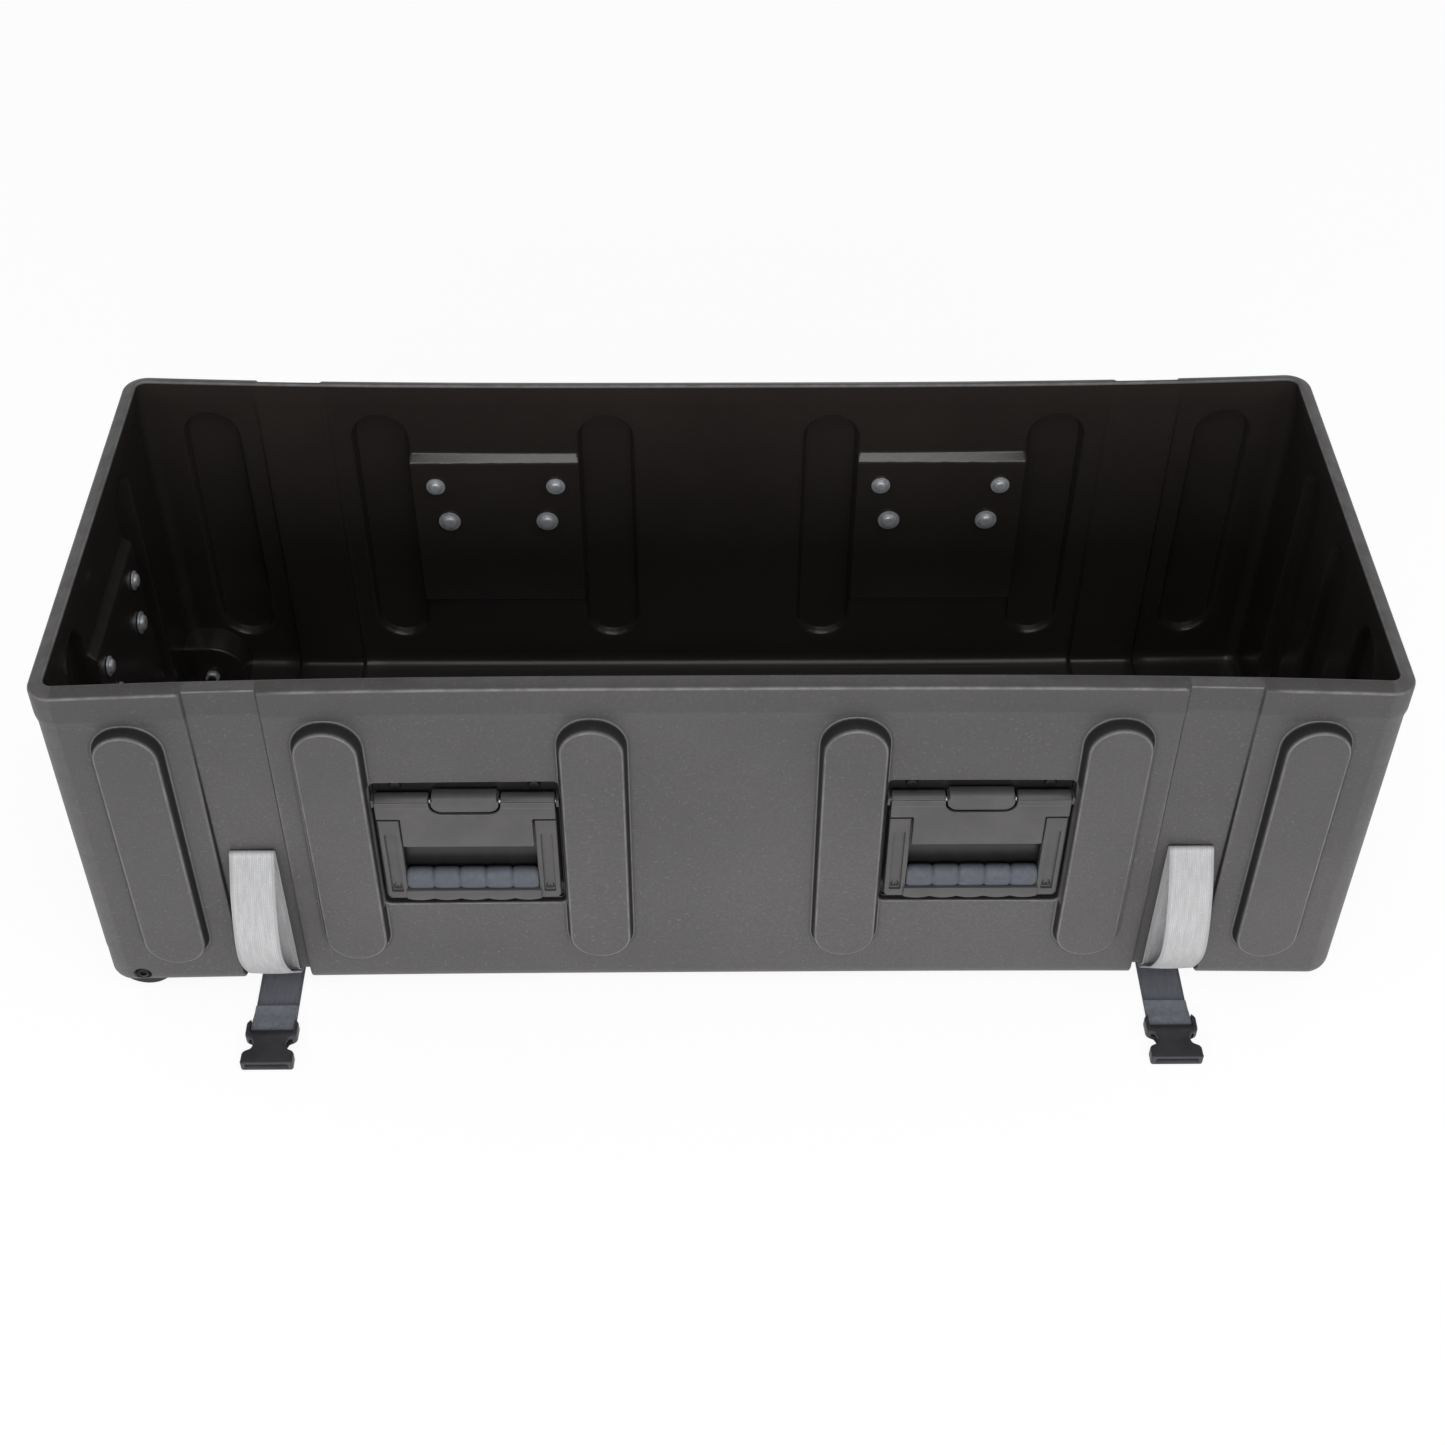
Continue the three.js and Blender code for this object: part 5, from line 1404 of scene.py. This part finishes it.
def fold_stitches(name, path, centre, tree, material, sign=1.0):
    """Rows of stitches through the folded end of a strip: two across it and two along it."""
    run = runs_along(path)
    first, last = SEAM
    half = WEB_WIDTH / 2 - 4.0
    points, edges = [], []

    def row(spots):
        """Stitches at places across the strip and distances back from its end."""
        line = []
        for across, back in spots:
            place = run[-1] - back
            i = min(max(int(np.searchsorted(run, place)), 1), len(path) - 2)
            y, z = (float(np.interp(place, run, column)) for column in np.array(path).T)
            normal = across_path(path, i) * sign * (WEB_HALF + 0.05)
            line.append((centre + across, y + normal.x, z + normal.y))
        edges.extend(chain(line, len(points)))
        points.extend(line)

    for back in SEAM:
        row([(half * (k / 8 - 1), back) for k in range(17)])
    for side in (-1, 1):
        row([(side * half, first + (last - first) * k / 12) for k in range(13)])
    pitch = case_sizes().stitch_pitch
    inputs = {"Pitch": pitch, "Length": pitch * 0.78, "Thickness": 0.55 * MM, "Material": material}
    return grown(name, points, edges, tree, **inputs)


# Buckles, with the bar's middle at Y = 0 and the strap towards +Y
BUCKLE_HALF = 22.8
BUCKLE_TOP = 11.0


def lying(p):
    """A slab's point laid flat, with its depth as height."""
    return (p[0], p[2], p[1])


def bar_room(material):
    """Space for the webbing round a buckle's bar."""
    half = WEB_WIDTH / 2 + 0.4
    web_top = 2 * WEB_HALF + 0.4
    rooms = (
        (-BAR_HALF - 4.4, -BAR_HALF, -10.0, 21.0),
        (BAR_HALF, 16.0, -10.0, 21.0),
        (-BAR_HALF - 0.4, 16.5, web_top + 3.4, 22.0),
        (-BAR_HALF - 0.4, 17.0, -11.0, web_top),
    )
    return [
        cutter(rounded_outline(-half, half, y0, y1, 0.5, 2), z0, z1, material, place=lying)
        for y0, y1, z0, z1 in rooms
    ]


def socket_master(material):
    """The wide half: ears at the bar, a waist, and a mouth with a raised lip."""
    half = BUCKLE_HALF
    right = [
        (half, -42.0, 2.4), (half, -29.0, 5.0), (15.6, -25.4, 4.0), (14.0, -20.5, 4.0), (16.2, -15.6, 3.0),
        (half - 0.2, -12.5, 5.5), (half, 2.5, 5.0), (half - 3.5, 6.4, 1.5),
    ]
    outline = softened(both_sides(right), 5)
    body = slab("Socket master", outline, 0.0, BUCKLE_TOP, 1.6, material, 4, 2.2, lying)
    outline = softened(box_corners(-half, half, -42.0, -38.6, 2.4, 2.4, 1.0, 1.0), 4)
    carve(body, "UNION", slab("Lip", outline, 1.0, BUCKLE_TOP, 0.8, material, 3, 1.1, lying))
    outline = rounded_outline(-18.6, 18.6, -70.0, -10.8, 1.0, 2)
    mouth = slab("Mouth", outline, 2.4, 8.6, 1.2, material, 3, 1.2, lying)
    return carve(body, "DIFFERENCE", mouth, *bar_room(material))


def plug_master(material):
    """The pronged half: body at the bar, middle tongue and two sprung prongs with hooked cheeks."""
    right = [(BUCKLE_HALF, -17.0, 2.0), (BUCKLE_HALF, 3.6, 3.5), (19.5, 6.4, 1.5)]
    outline = softened(both_sides(right), 5)
    body = slab("Plug master", outline, 0.0, BUCKLE_TOP, 1.5, material, 4, 2.0, lying)
    prong = [
        (17.8, -14.0, 0.0), (17.0, -26.0, 6.0), (20.8, -36.0, 2.0), (20.6, -42.5, 3.0), (16.5, -44.0, 2.0),
        (11.8, -36.0, 3.0), (13.2, -26.0, 4.0), (14.2, -14.0, 0.0),
    ]
    outlines = [softened([(side * x, y, r) for x, y, r in prong][::-side], 5) for side in (-1, 1)]
    outlines.append(softened(both_sides([(2.4, -35.0, 1.5), (4.5, -14.0, 0.0)]), 4))
    prongs = [slab("Prong", outline, 2.5, 8.5, 0.9, material, 3, 0.9, lying) for outline in outlines]
    carve(body, "UNION", *prongs)
    return carve(body, "DIFFERENCE", *bar_room(material))


# Finishes
def moulded(name, base, pebble, gloss, marking):
    """Moulded polyethylene: pebbled or smooth, with scuffs and dust, painted highlights on its edges, and
    painted shade in its hollows, on the rim band and up the wall.
    """
    f = Finish(name, base, 0.92)
    mottle = f.noise(9.0, 5.0, 0.6)
    speckle = f.noise(3.2, 2.0, 0.5)
    scuff = f.noise(14.0, 4.0, 0.7, f.place((0.35, 0.35, 2.6), (0.5, 0.2, 0.9))).between(0.64, 0.76)
    # Painted highlights on edges, broken up by noise, and painted shade in steps and recesses, from the
    # numbers kept on the mesh
    rub = f.carried("rub").between(0.0, 1.0) * f.noise(16.0).between(0.3, 0.7, 0.4, 1.0)
    painted_shade = f.carried("rub").between(0.0, -0.9) * marking
    # Painted shade: darker above the rim band's edge, and darker up the wall towards the band's foot
    height = f.axis(f.place(), "Z")
    band = height.between((BAND_EDGE - 3.0) * MM, (BAND_EDGE + 1.0) * MM) * (0.24 * marking)
    shade_towards_top = height.between(0.1, BAND_FOOT * MM) * (0.3 * marking)
    f.shift(f.noise(180.0, 3.0).between(0.35, 0.68), 1.1)
    f.shift(speckle.between(0.3, 0.7) * (0.6 * marking), 0.62)
    f.shift(speckle.between(0.54, 0.72) * (0.6 * marking), 1.55)
    f.shift(mottle.between(0.5, 0.78) * 0.2, 1.28)
    f.shift(scuff * (marking * 0.4), 1.6)
    f.shift(f.cells(34.0).between(0.035, 0.015) * (marking * 0.6), 2.4)
    f.shift(band + shade_towards_top, 0.4)
    f.shift(painted_shade * 0.9, 0.2)
    f.shift(rub * marking * 0.9, 2.3)
    # Smoother where highlights are painted, rougher where shade is painted
    rough = gloss + mottle * 0.12 + scuff * (0.1 * marking) - rub * (0.1 * marking) + painted_shade * 0.36
    grain = f.bump(f.noise(pebble, 2.0, 0.4), 0.26, 0.8 * marking)
    wave = f.bump(f.noise(70.0, 2.0), 2.0, 0.16, grain)
    # Half metallic where shade is painted, which darkens it further
    return f.close(rough, wave, painted_shade * 0.5, Specular_IOR_Level=0.5)


def nylon_finish(name, base):
    """Glass-filled nylon with a satin skin and flow marks."""
    f = Finish(name, base, 0.9)
    flow = f.noise(6.0, 4.0, 0.6, f.place((0.3, 1.0, 1.6)))
    f.shift(f.noise(30.0).between(0.3, 0.7), 1.12)
    f.shift(flow.between(0.6, 0.8) * 0.35, 1.5)
    return f.close(0.27 + flow * 0.14, f.bump(f.cells(0.7), 0.05, 0.4), Specular_IOR_Level=0.55)


def rubber_finish(name, base):
    """Soft rubber with a fine grain and rubbed patches."""
    f = Finish(name, base, 0.92)
    marked = f.noise(14.0).between(0.5, 0.8)
    f.shift(f.noise(5.0).between(0.35, 0.7), 1.1)
    f.shift(marked * 0.4, 1.35)
    return f.close(0.62 - marked * 0.14, f.bump(f.noise(0.8, 3.0), 0.07, 0.6))


def plated_finish(name, base, brushed, metal):
    """Zinc plate or oiled steel, with fine brush lines and dull spots."""
    f = Finish(name, base)
    lines = f.noise(0.5, 3.0, 0.5, f.place((0.08, 1.0, 1.0)))
    dull = f.noise(6.0).between(0.5, 0.72)
    f.shift(dull, 0.7)
    return f.close(brushed + lines * 0.12 + dull * 0.14, f.bump(lines, 0.03, 0.4), metal)


def tyre_finish(name, base):
    f = Finish(name, base)
    dust = f.noise(9.0, 5.0, 0.65).between(0.48, 0.75)
    f.shift(dust * 0.5, 2.6)
    return f.close(0.62 + dust * 0.2, f.bump(f.noise(1.2), 0.12, 0.7))


def webbing_finish(name, base, sheen):
    """Woven polypropylene: twill ribs along the strap, cross yarns, selvedges and soft soil."""
    f = Finish(name, base, 0.68)
    web = f.place(layer="web")
    across, along = f.axis(web, "X"), f.axis(web, "Y")
    ribs = (across * (2 * math.pi / (1.55 * MM))).sine()
    yarns = (along * (2 * math.pi / (1.25 * MM)) + ribs * 1.3).sine()
    weave = (ribs * 0.5 + 0.5) * 0.6 + (yarns * 0.5 + 0.5) * 0.4
    warp = f.noise(3.0, 4.0, 0.6, f.place((1.0, 0.12, 1.0), layer="web"))
    selvedge = (across * across).between((15.8 * MM) ** 2, (16.8 * MM) ** 2)
    fuzz = f.noise(1.1, 4.0, 0.65)
    f.shift(weave, 1.12)
    f.shift(warp.between(0.35, 0.7) * 0.7, 0.68)
    f.shift(fuzz.between(0.45, 0.75) * 0.4, 1.25)
    f.shift(selvedge * (yarns * 0.3 + 0.45), 0.55)
    f.shift(f.noise(22.0).between(0.42, 0.72) * 0.28, 0.72)
    f.shift(f.carried("faded") * f.noise(5.0).between(0.25, 0.7, 0.45, 1.0), 1.55)
    pile = f.bump(weave + fuzz * 0.25, 0.3, 0.75)
    return f.close(0.86 - weave * sheen, pile, Sheen_Weight=0.25, Sheen_Roughness=0.5)


def thread_finish(name, base):
    f = Finish(name, base, 0.8)
    twist = f.noise(0.4, 3.0)
    f.shift(twist.between(0.3, 0.7), 1.15)
    return f.close(0.7 + twist * 0.1, f.bump(twist, 0.1, 0.6))


def acetal_finish(name, base):
    """Buckle plastic with a fine spark-eroded grain and pale nicks."""
    f = Finish(name, base, 0.88)
    cloud = f.noise(12.0)
    f.shift(cloud.between(0.3, 0.7), 1.15)
    f.shift(f.noise(5.0, 5.0, 0.7, f.place((1.0, 0.3, 1.0))).between(0.66, 0.74) * 0.5, 3.0)
    return f.close(0.4 + cloud * 0.14, f.bump(f.noise(0.5, 3.0), 0.05, 0.5), Specular_IOR_Level=0.55)


def finish(name):
    """A finish by name, made once."""
    tones = bpy.context.scene.case_finishes
    maker, title, base, more = {
        "outside": (moulded, "Pebbled polyethylene", tones.outside, (2.1, 0.42, 1.0)),
        # The inside is the same polyethylene with a darker base: partly its smooth glossy skin, partly
        # painted shade inside the tub
        "inside": (moulded, "Smooth polyethylene", tones.inside, (4.0, 0.17, 0.25)),
        "nylon": (nylon_finish, "Handle nylon", tones.nylon, ()),
        # The tray is the handle nylon at 0.22 of its tone: painted shade in the handle recess
        "tray": (nylon_finish, "Tray nylon", tinted(tones.nylon, 0.22), ()),
        "rubber": (rubber_finish, "Grip rubber", tones.rubber, ()),
        "zinc": (plated_finish, "Zinc plate", colour(214, 217, 222), (0.3, 0.5)),
        "blackened": (plated_finish, "Blackened steel", colour(30, 30, 32), (0.4, 0.5)),
        "steel": (plated_finish, "Spring steel", colour(138, 140, 145), (0.32, 1.0)),
        "tyre": (tyre_finish, "Tyre rubber", colour(38, 38, 39), ()),
        "webbing": (webbing_finish, "Pale webbing", tones.webbing, (0.2,)),
        "tail": (webbing_finish, "Slate webbing", tones.tail, (0.12,)),
        "thread": (thread_finish, "Slate thread", tinted(tones.tail, 1.7), ()),
        "acetal": (acetal_finish, "Buckle acetal", tones.acetal, ()),
    }[name]
    return bpy.data.materials.get(title) or maker(title, tuple(base), *more)


# Sizes and colours that a user would change
class CaseSizes(bpy.types.PropertyGroup):
    pad_proud: bpy.props.FloatProperty(
        name="Pad depth", description="How far the wall pads stand out", default=0.011, unit="LENGTH"
    )
    stitch_pitch: bpy.props.FloatProperty(
        name="Stitch pitch", description="Distance from stitch to stitch", default=0.0027, unit="LENGTH"
    )
    spring_wire: bpy.props.FloatProperty(
        name="Spring wire", description="Radius of the hinge spring's wire", default=0.0005, unit="LENGTH"
    )
    hub_ribs: bpy.props.IntProperty(
        name="Hub ribs", description="Ribs in each wheel hub", default=6, min=3, max=12
    )


class CaseFinishes(bpy.types.PropertyGroup):
    outside: bpy.props.FloatVectorProperty(
        name="Outside", description="Pebbled plastic outside",
        subtype="COLOR", size=4, default=colour(93, 91, 92)
    )
    inside: bpy.props.FloatVectorProperty(
        # Darker than the outside: partly the smooth glossy skin, partly painted shade inside the tub
        name="Inside", description="Smooth plastic inside",
        subtype="COLOR", size=4, default=colour(50, 46, 44)
    )
    nylon: bpy.props.FloatVectorProperty(
        name="Handles", description="Nylon of the handles",
        subtype="COLOR", size=4, default=colour(80, 78, 79)
    )
    rubber: bpy.props.FloatVectorProperty(
        name="Grips", description="Rubber of the grips",
        subtype="COLOR", size=4, default=colour(88, 92, 101)
    )
    webbing: bpy.props.FloatVectorProperty(
        name="Strap loops", description="Pale webbing",
        subtype="COLOR", size=4, default=colour(216, 216, 218)
    )
    tail: bpy.props.FloatVectorProperty(
        name="Strap tails", description="Slate webbing",
        subtype="COLOR", size=4, default=colour(114, 117, 126)
    )
    acetal: bpy.props.FloatVectorProperty(
        name="Buckles", description="Plastic of the buckles",
        subtype="COLOR", size=4, default=colour(56, 55, 60)
    )


class StageSettings(bpy.types.PropertyGroup):
    lens: bpy.props.FloatProperty(name="Lens", description="Focal length on 36 mm", default=52.91)
    sky: bpy.props.FloatProperty(name="Sky", description="Strength of the soft light", default=0.3)
    key: bpy.props.FloatProperty(
        name="Key", description="Power of the front panel", default=62.0, unit="POWER"
    )


def case_sizes():
    return bpy.context.scene.case_sizes


class CASE_OT_tub(bpy.types.Operator):
    """Lay out and shape the moulded tub, with its wheel wells and axle holes"""

    bl_idname = "case.tub"
    bl_label = "Tub"

    def execute(self, context):
        outside, inside = finish("outside"), finish("inside")
        tub = tub_mesh("tub_shell", outside, inside)
        for side in (-1, 1):
            block, cutters = wheel_well(side, outside, inside)
            carve(tub, "UNION", block)
            carve(tub, "DIFFERENCE", *cutters)
        shade(tub.data, CREASE)
        attach(tub, "case", "case_tub", slot="case_plastic")
        return {"FINISHED"}


class CASE_OT_handles(bpy.types.Operator):
    """Model one sprung handle and set a copy in each recess"""

    bl_idname = "case.handles"
    bl_label = "Sprung handles"

    def execute(self, context):
        nylon, zinc, steel = finish("nylon"), finish("zinc"), finish("steel")
        wire = spring_points()
        inputs = {"Radius": case_sizes().spring_wire, "Sides": 10, "Material": steel}
        spring = grown("Spring master", wire, chain(wire), tube_tree(), **inputs)
        bolts = bolt_set(finish("blackened"), zinc)
        masters = {
            # The tray finish is a darker copy of the nylon: painted shade
            "dish": (dish_master(nylon, finish("tray")), "handle_nylon"),
            "bail": (bail_master(nylon), "handle_nylon"),
            "grip": (grip_master(finish("rubber")), "grip_rubber"),
            "pin": (pin_master(zinc), "zinc"),
            "spring": (spring, "spring_steel"),
        }
        for name in HANDLES:
            place = handle_place(name)
            for part, (master, slot) in masters.items():
                body = f"handle_{name}" if part in ("bail", "grip") else "case"
                copied(master, f"{part}_{name}", place, body, f"handle_{part}_{name}", slot=slot)
            nodes = [f"handle_bolt_{name}_{k}" for k in (1, 2)]
            copied(bolts, f"bolts_{name}", place, "case", *nodes, slot="zinc")
        discard(bolts, *(master for master, _ in masters.values()))
        return {"FINISHED"}


class CASE_OT_wheels(bpy.types.Operator):
    """Model a wheel with its axle bolt and nut, and set one in each well"""

    bl_idname = "case.wheels"
    bl_label = "Wheels"

    def execute(self, context):
        masters = {
            "tyre": (tyre_master(finish("tyre")), "tyre"),
            "hub": (hub_master(finish("nylon"), rib_tree()), "handle_nylon"),
            "axle": (axle_master(finish("blackened")), "spring_steel"),
            "nut": (nut_master(finish("zinc")), "zinc"),
        }
        tread = Matrix.Translation((0.0, sum(WELL_FACES) / 2 * MM, 0.0))
        for name, side in WHEELS:
            turn = Matrix.Rotation(math.pi if side < 0 else 0.0, 4, "Z")
            centre = Matrix.Translation(Vector((AXLE[0], 0.0, AXLE[1])) * MM) @ turn
            for part, (master, slot) in masters.items():
                moving = part in ("tyre", "hub")
                place, body = (centre @ tread, f"wheel_{name}") if moving else (centre, "case")
                copied(master, f"{part}_{name}", place, body, f"wheel_{part}_{name}", slot=slot)
        discard(*(master for master, _ in masters.values()))
        return {"FINISHED"}


class CASE_OT_straps(bpy.types.Operator):
    """Run the webbing through its channels and sew its folded ends"""

    bl_idname = "case.straps"
    bl_label = "Straps"

    def execute(self, context):
        webbing, tail, thread = finish("webbing"), finish("tail"), finish("thread")
        stitches = stitch_tree()
        for name, side in SIDES:
            centre = side * CHANNEL_X
            path = strap_path(abs(centre))
            piece = strip(f"webbing_{name}", path, centre, webbing, 0.8)
            attach(piece, "case", f"strap_{name}", slot="webbing")
            rows = fold_stitches(f"plug_stitches_{name}", path, centre, stitches, webbing)
            attach(rows, "case", slot="webbing")
            ends = tail_path()
            piece = strip(f"tail_webbing_{name}", ends, centre, tail)
            attach(piece, "case", f"strap_tail_{name}", slot="dark_webbing")
            rows = fold_stitches(f"tail_stitches_{name}", ends, centre, stitches, thread, -1.0)
            attach(rows, "case", slot="dark_webbing")
        return {"FINISHED"}


class CASE_OT_buckles(bpy.types.Operator):
    """Model both halves of the side-release buckles and set them on the webbing"""

    bl_idname = "case.buckles"
    bl_label = "Buckles"

    def execute(self, context):
        acetal = finish("acetal")
        socket, plug = socket_master(acetal), plug_master(acetal)
        for name, side in SIDES:
            x = side * CHANNEL_X
            front = Matrix.Translation(Vector((x, -HALF_WIDTH - BAR_REACH["tail"], 0.0)) * MM)
            back = Matrix.Translation(Vector((x, HALF_WIDTH + BAR_REACH["back"], 0.0)) * MM)
            back = back @ Matrix.Rotation(math.pi, 4, "Z")
            copied(socket, f"socket_{name}", front, "case", f"buckle_socket_{name}", slot="buckle_plastic")
            copied(plug, f"plug_{name}", back, "case", f"buckle_plug_{name}", slot="buckle_plastic")
        discard(socket, plug)
        return {"FINISHED"}


class CASE_OT_stage(bpy.types.Operator):
    """Set up the camera, the pale floor and the soft studio light"""

    bl_idname = "case.stage"
    bl_label = "Stage"

    def execute(self, context):
        scene = context.scene
        scene.view_settings.view_transform = "Standard"
        settings = scene.case_stage
        add_camera(scene, settings.lens)
        add_floor()
        add_sky(scene, settings.sky)
        for name, place, aim, size, share in PANELS:
            add_panel(name, place, (0.0, 0.0, aim), size, settings.key * share)
        return {"FINISHED"}


# The camera's pitch down, yaw and roll in degrees, and its place in millimetres. Then each light
# panel's place, the height it faces, its size in metres and its share of the front panel's power
CAMERA_TURN = (44.269, 0.964, 0.422)
CAMERA_PLACE = (-21.4, -1414.2, 1504.7)
PANELS = (
    ("Front panel", (0.0, -3.3, 1.15), 0.12, (3.6, 1.5), 1.0),
    ("Overhead panel", (0.3, -1.5, 3.0), 0.2, (2.6, 1.6), 0.26),
)


def add_camera(scene, lens):
    """The photograph's camera, fitted to the case's rim and corners."""
    data = bpy.data.cameras.new("Camera")
    data.sensor_width = 36.0
    data.lens = lens
    data.clip_end = 50.0
    scene.camera = linked("Camera", data)
    pitch, yaw, roll = (math.radians(angle) for angle in CAMERA_TURN)
    ahead = Vector((math.sin(yaw) * math.cos(pitch), math.cos(yaw) * math.cos(pitch), -math.sin(pitch)))
    level = Vector((math.cos(yaw), -math.sin(yaw), 0.0))
    upright = level.cross(ahead)
    right = math.cos(roll) * level + math.sin(roll) * upright
    up = -math.sin(roll) * level + math.cos(roll) * upright
    turn = Matrix((right, up, -ahead)).transposed().to_4x4()
    scene.camera.matrix_world = Matrix.Translation(Vector(CAMERA_PLACE) * MM) @ turn


def add_floor():
    """A pale floor that looks white to the camera and in reflections, and keeps the case's shadow."""
    f = Finish("Pale floor")
    ground = f.shade("ShaderNodeBsdfDiffuse", 0, {"Color": tinted(WHITE, 0.88)})
    glow = f.shade("ShaderNodeEmission", 0, {"Color": WHITE, "Strength": 1.12})
    camera, glossy = (f.shade("ShaderNodeLightPath", f"Is {ray} Ray") for ray in ("Camera", "Glossy"))
    f.finish(f.shade("ShaderNodeMixShader", 0, {0: camera * 0.8 + glossy * 0.7, 1: ground, 2: glow}))
    reach, low = 9000.0, -0.6
    corners = [(a * reach, b * reach, low) for a, b in ((-1, -1), (1, -1), (1, 1), (-1, 1))]
    new_object("floor", corners, [(0, 1, 2, 3)], [f.material])


def add_sky(scene, strength):
    """Soft dim light all round, a white backdrop low behind the case, and white to the camera."""
    scene.world = bpy.data.worlds.new("Studio")
    f = Finish(scene.world)
    way = f.shade("ShaderNodeTexCoord", "Generated")
    backdrop = f.axis(way, "Y").between(0.1, 0.55) * f.axis(way, "Z").between(0.68, 0.54)
    glow = strength + backdrop * (0.72 - strength)
    light = f.shade("ShaderNodeBackground", 0, {"Color": WHITE, "Strength": glow})
    plain = f.shade("ShaderNodeBackground", 0, {"Color": WHITE, "Strength": 1.0})
    seen = f.shade("ShaderNodeLightPath", "Is Camera Ray")
    f.finish(f.shade("ShaderNodeMixShader", 0, {0: seen, 1: light, 2: plain}), "ShaderNodeOutputWorld")


def add_panel(name, place, aim, size, power):
    """A soft light panel."""
    data = bpy.data.lights.new(name, "AREA")
    data.shape = "RECTANGLE"
    data.size, data.size_y = size
    data.energy = power
    lamp = linked(name, data)
    lamp.location = place
    lamp.rotation_euler = (Vector(aim) - Vector(place)).to_track_quat("-Z", "Y").to_euler()


class CASE_PT_panel(bpy.types.Panel):
    """Buttons and settings of the hardware case"""

    bl_idname = "CASE_PT_panel"
    bl_label = "Hardware case"
    bl_space_type = "VIEW_3D"
    bl_region_type = "UI"
    bl_category = "Hardware case"

    def draw(self, context):
        scene = context.scene
        for group in (scene.case_sizes, scene.case_finishes, scene.case_stage):
            box = self.layout.box()
            for key in group.__annotations__:
                box.prop(group, key)
        for operator in OPERATORS:
            self.layout.operator(operator.bl_idname)


OPERATORS = (CASE_OT_tub, CASE_OT_handles, CASE_OT_wheels, CASE_OT_straps, CASE_OT_buckles, CASE_OT_stage)
GROUPS = (("case_sizes", CaseSizes), ("case_finishes", CaseFinishes), ("case_stage", StageSettings))


def register():
    for name, group in GROUPS:
        bpy.utils.register_class(group)
        setattr(bpy.types.Scene, name, bpy.props.PointerProperty(type=group))
    for operator in OPERATORS:
        bpy.utils.register_class(operator)
    bpy.utils.register_class(CASE_PT_panel)


def unregister():
    bpy.utils.unregister_class(CASE_PT_panel)
    for operator in reversed(OPERATORS):
        bpy.utils.unregister_class(operator)
    for name, group in reversed(GROUPS):
        delattr(bpy.types.Scene, name)
        bpy.utils.unregister_class(group)


def main():
    """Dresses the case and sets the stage."""
    register()
    bpy.ops.case.tub()
    bpy.ops.case.handles()
    bpy.ops.case.wheels()
    bpy.ops.case.straps()
    bpy.ops.case.buckles()
    bpy.ops.case.stage()


if __name__ == "__main__":
    main()
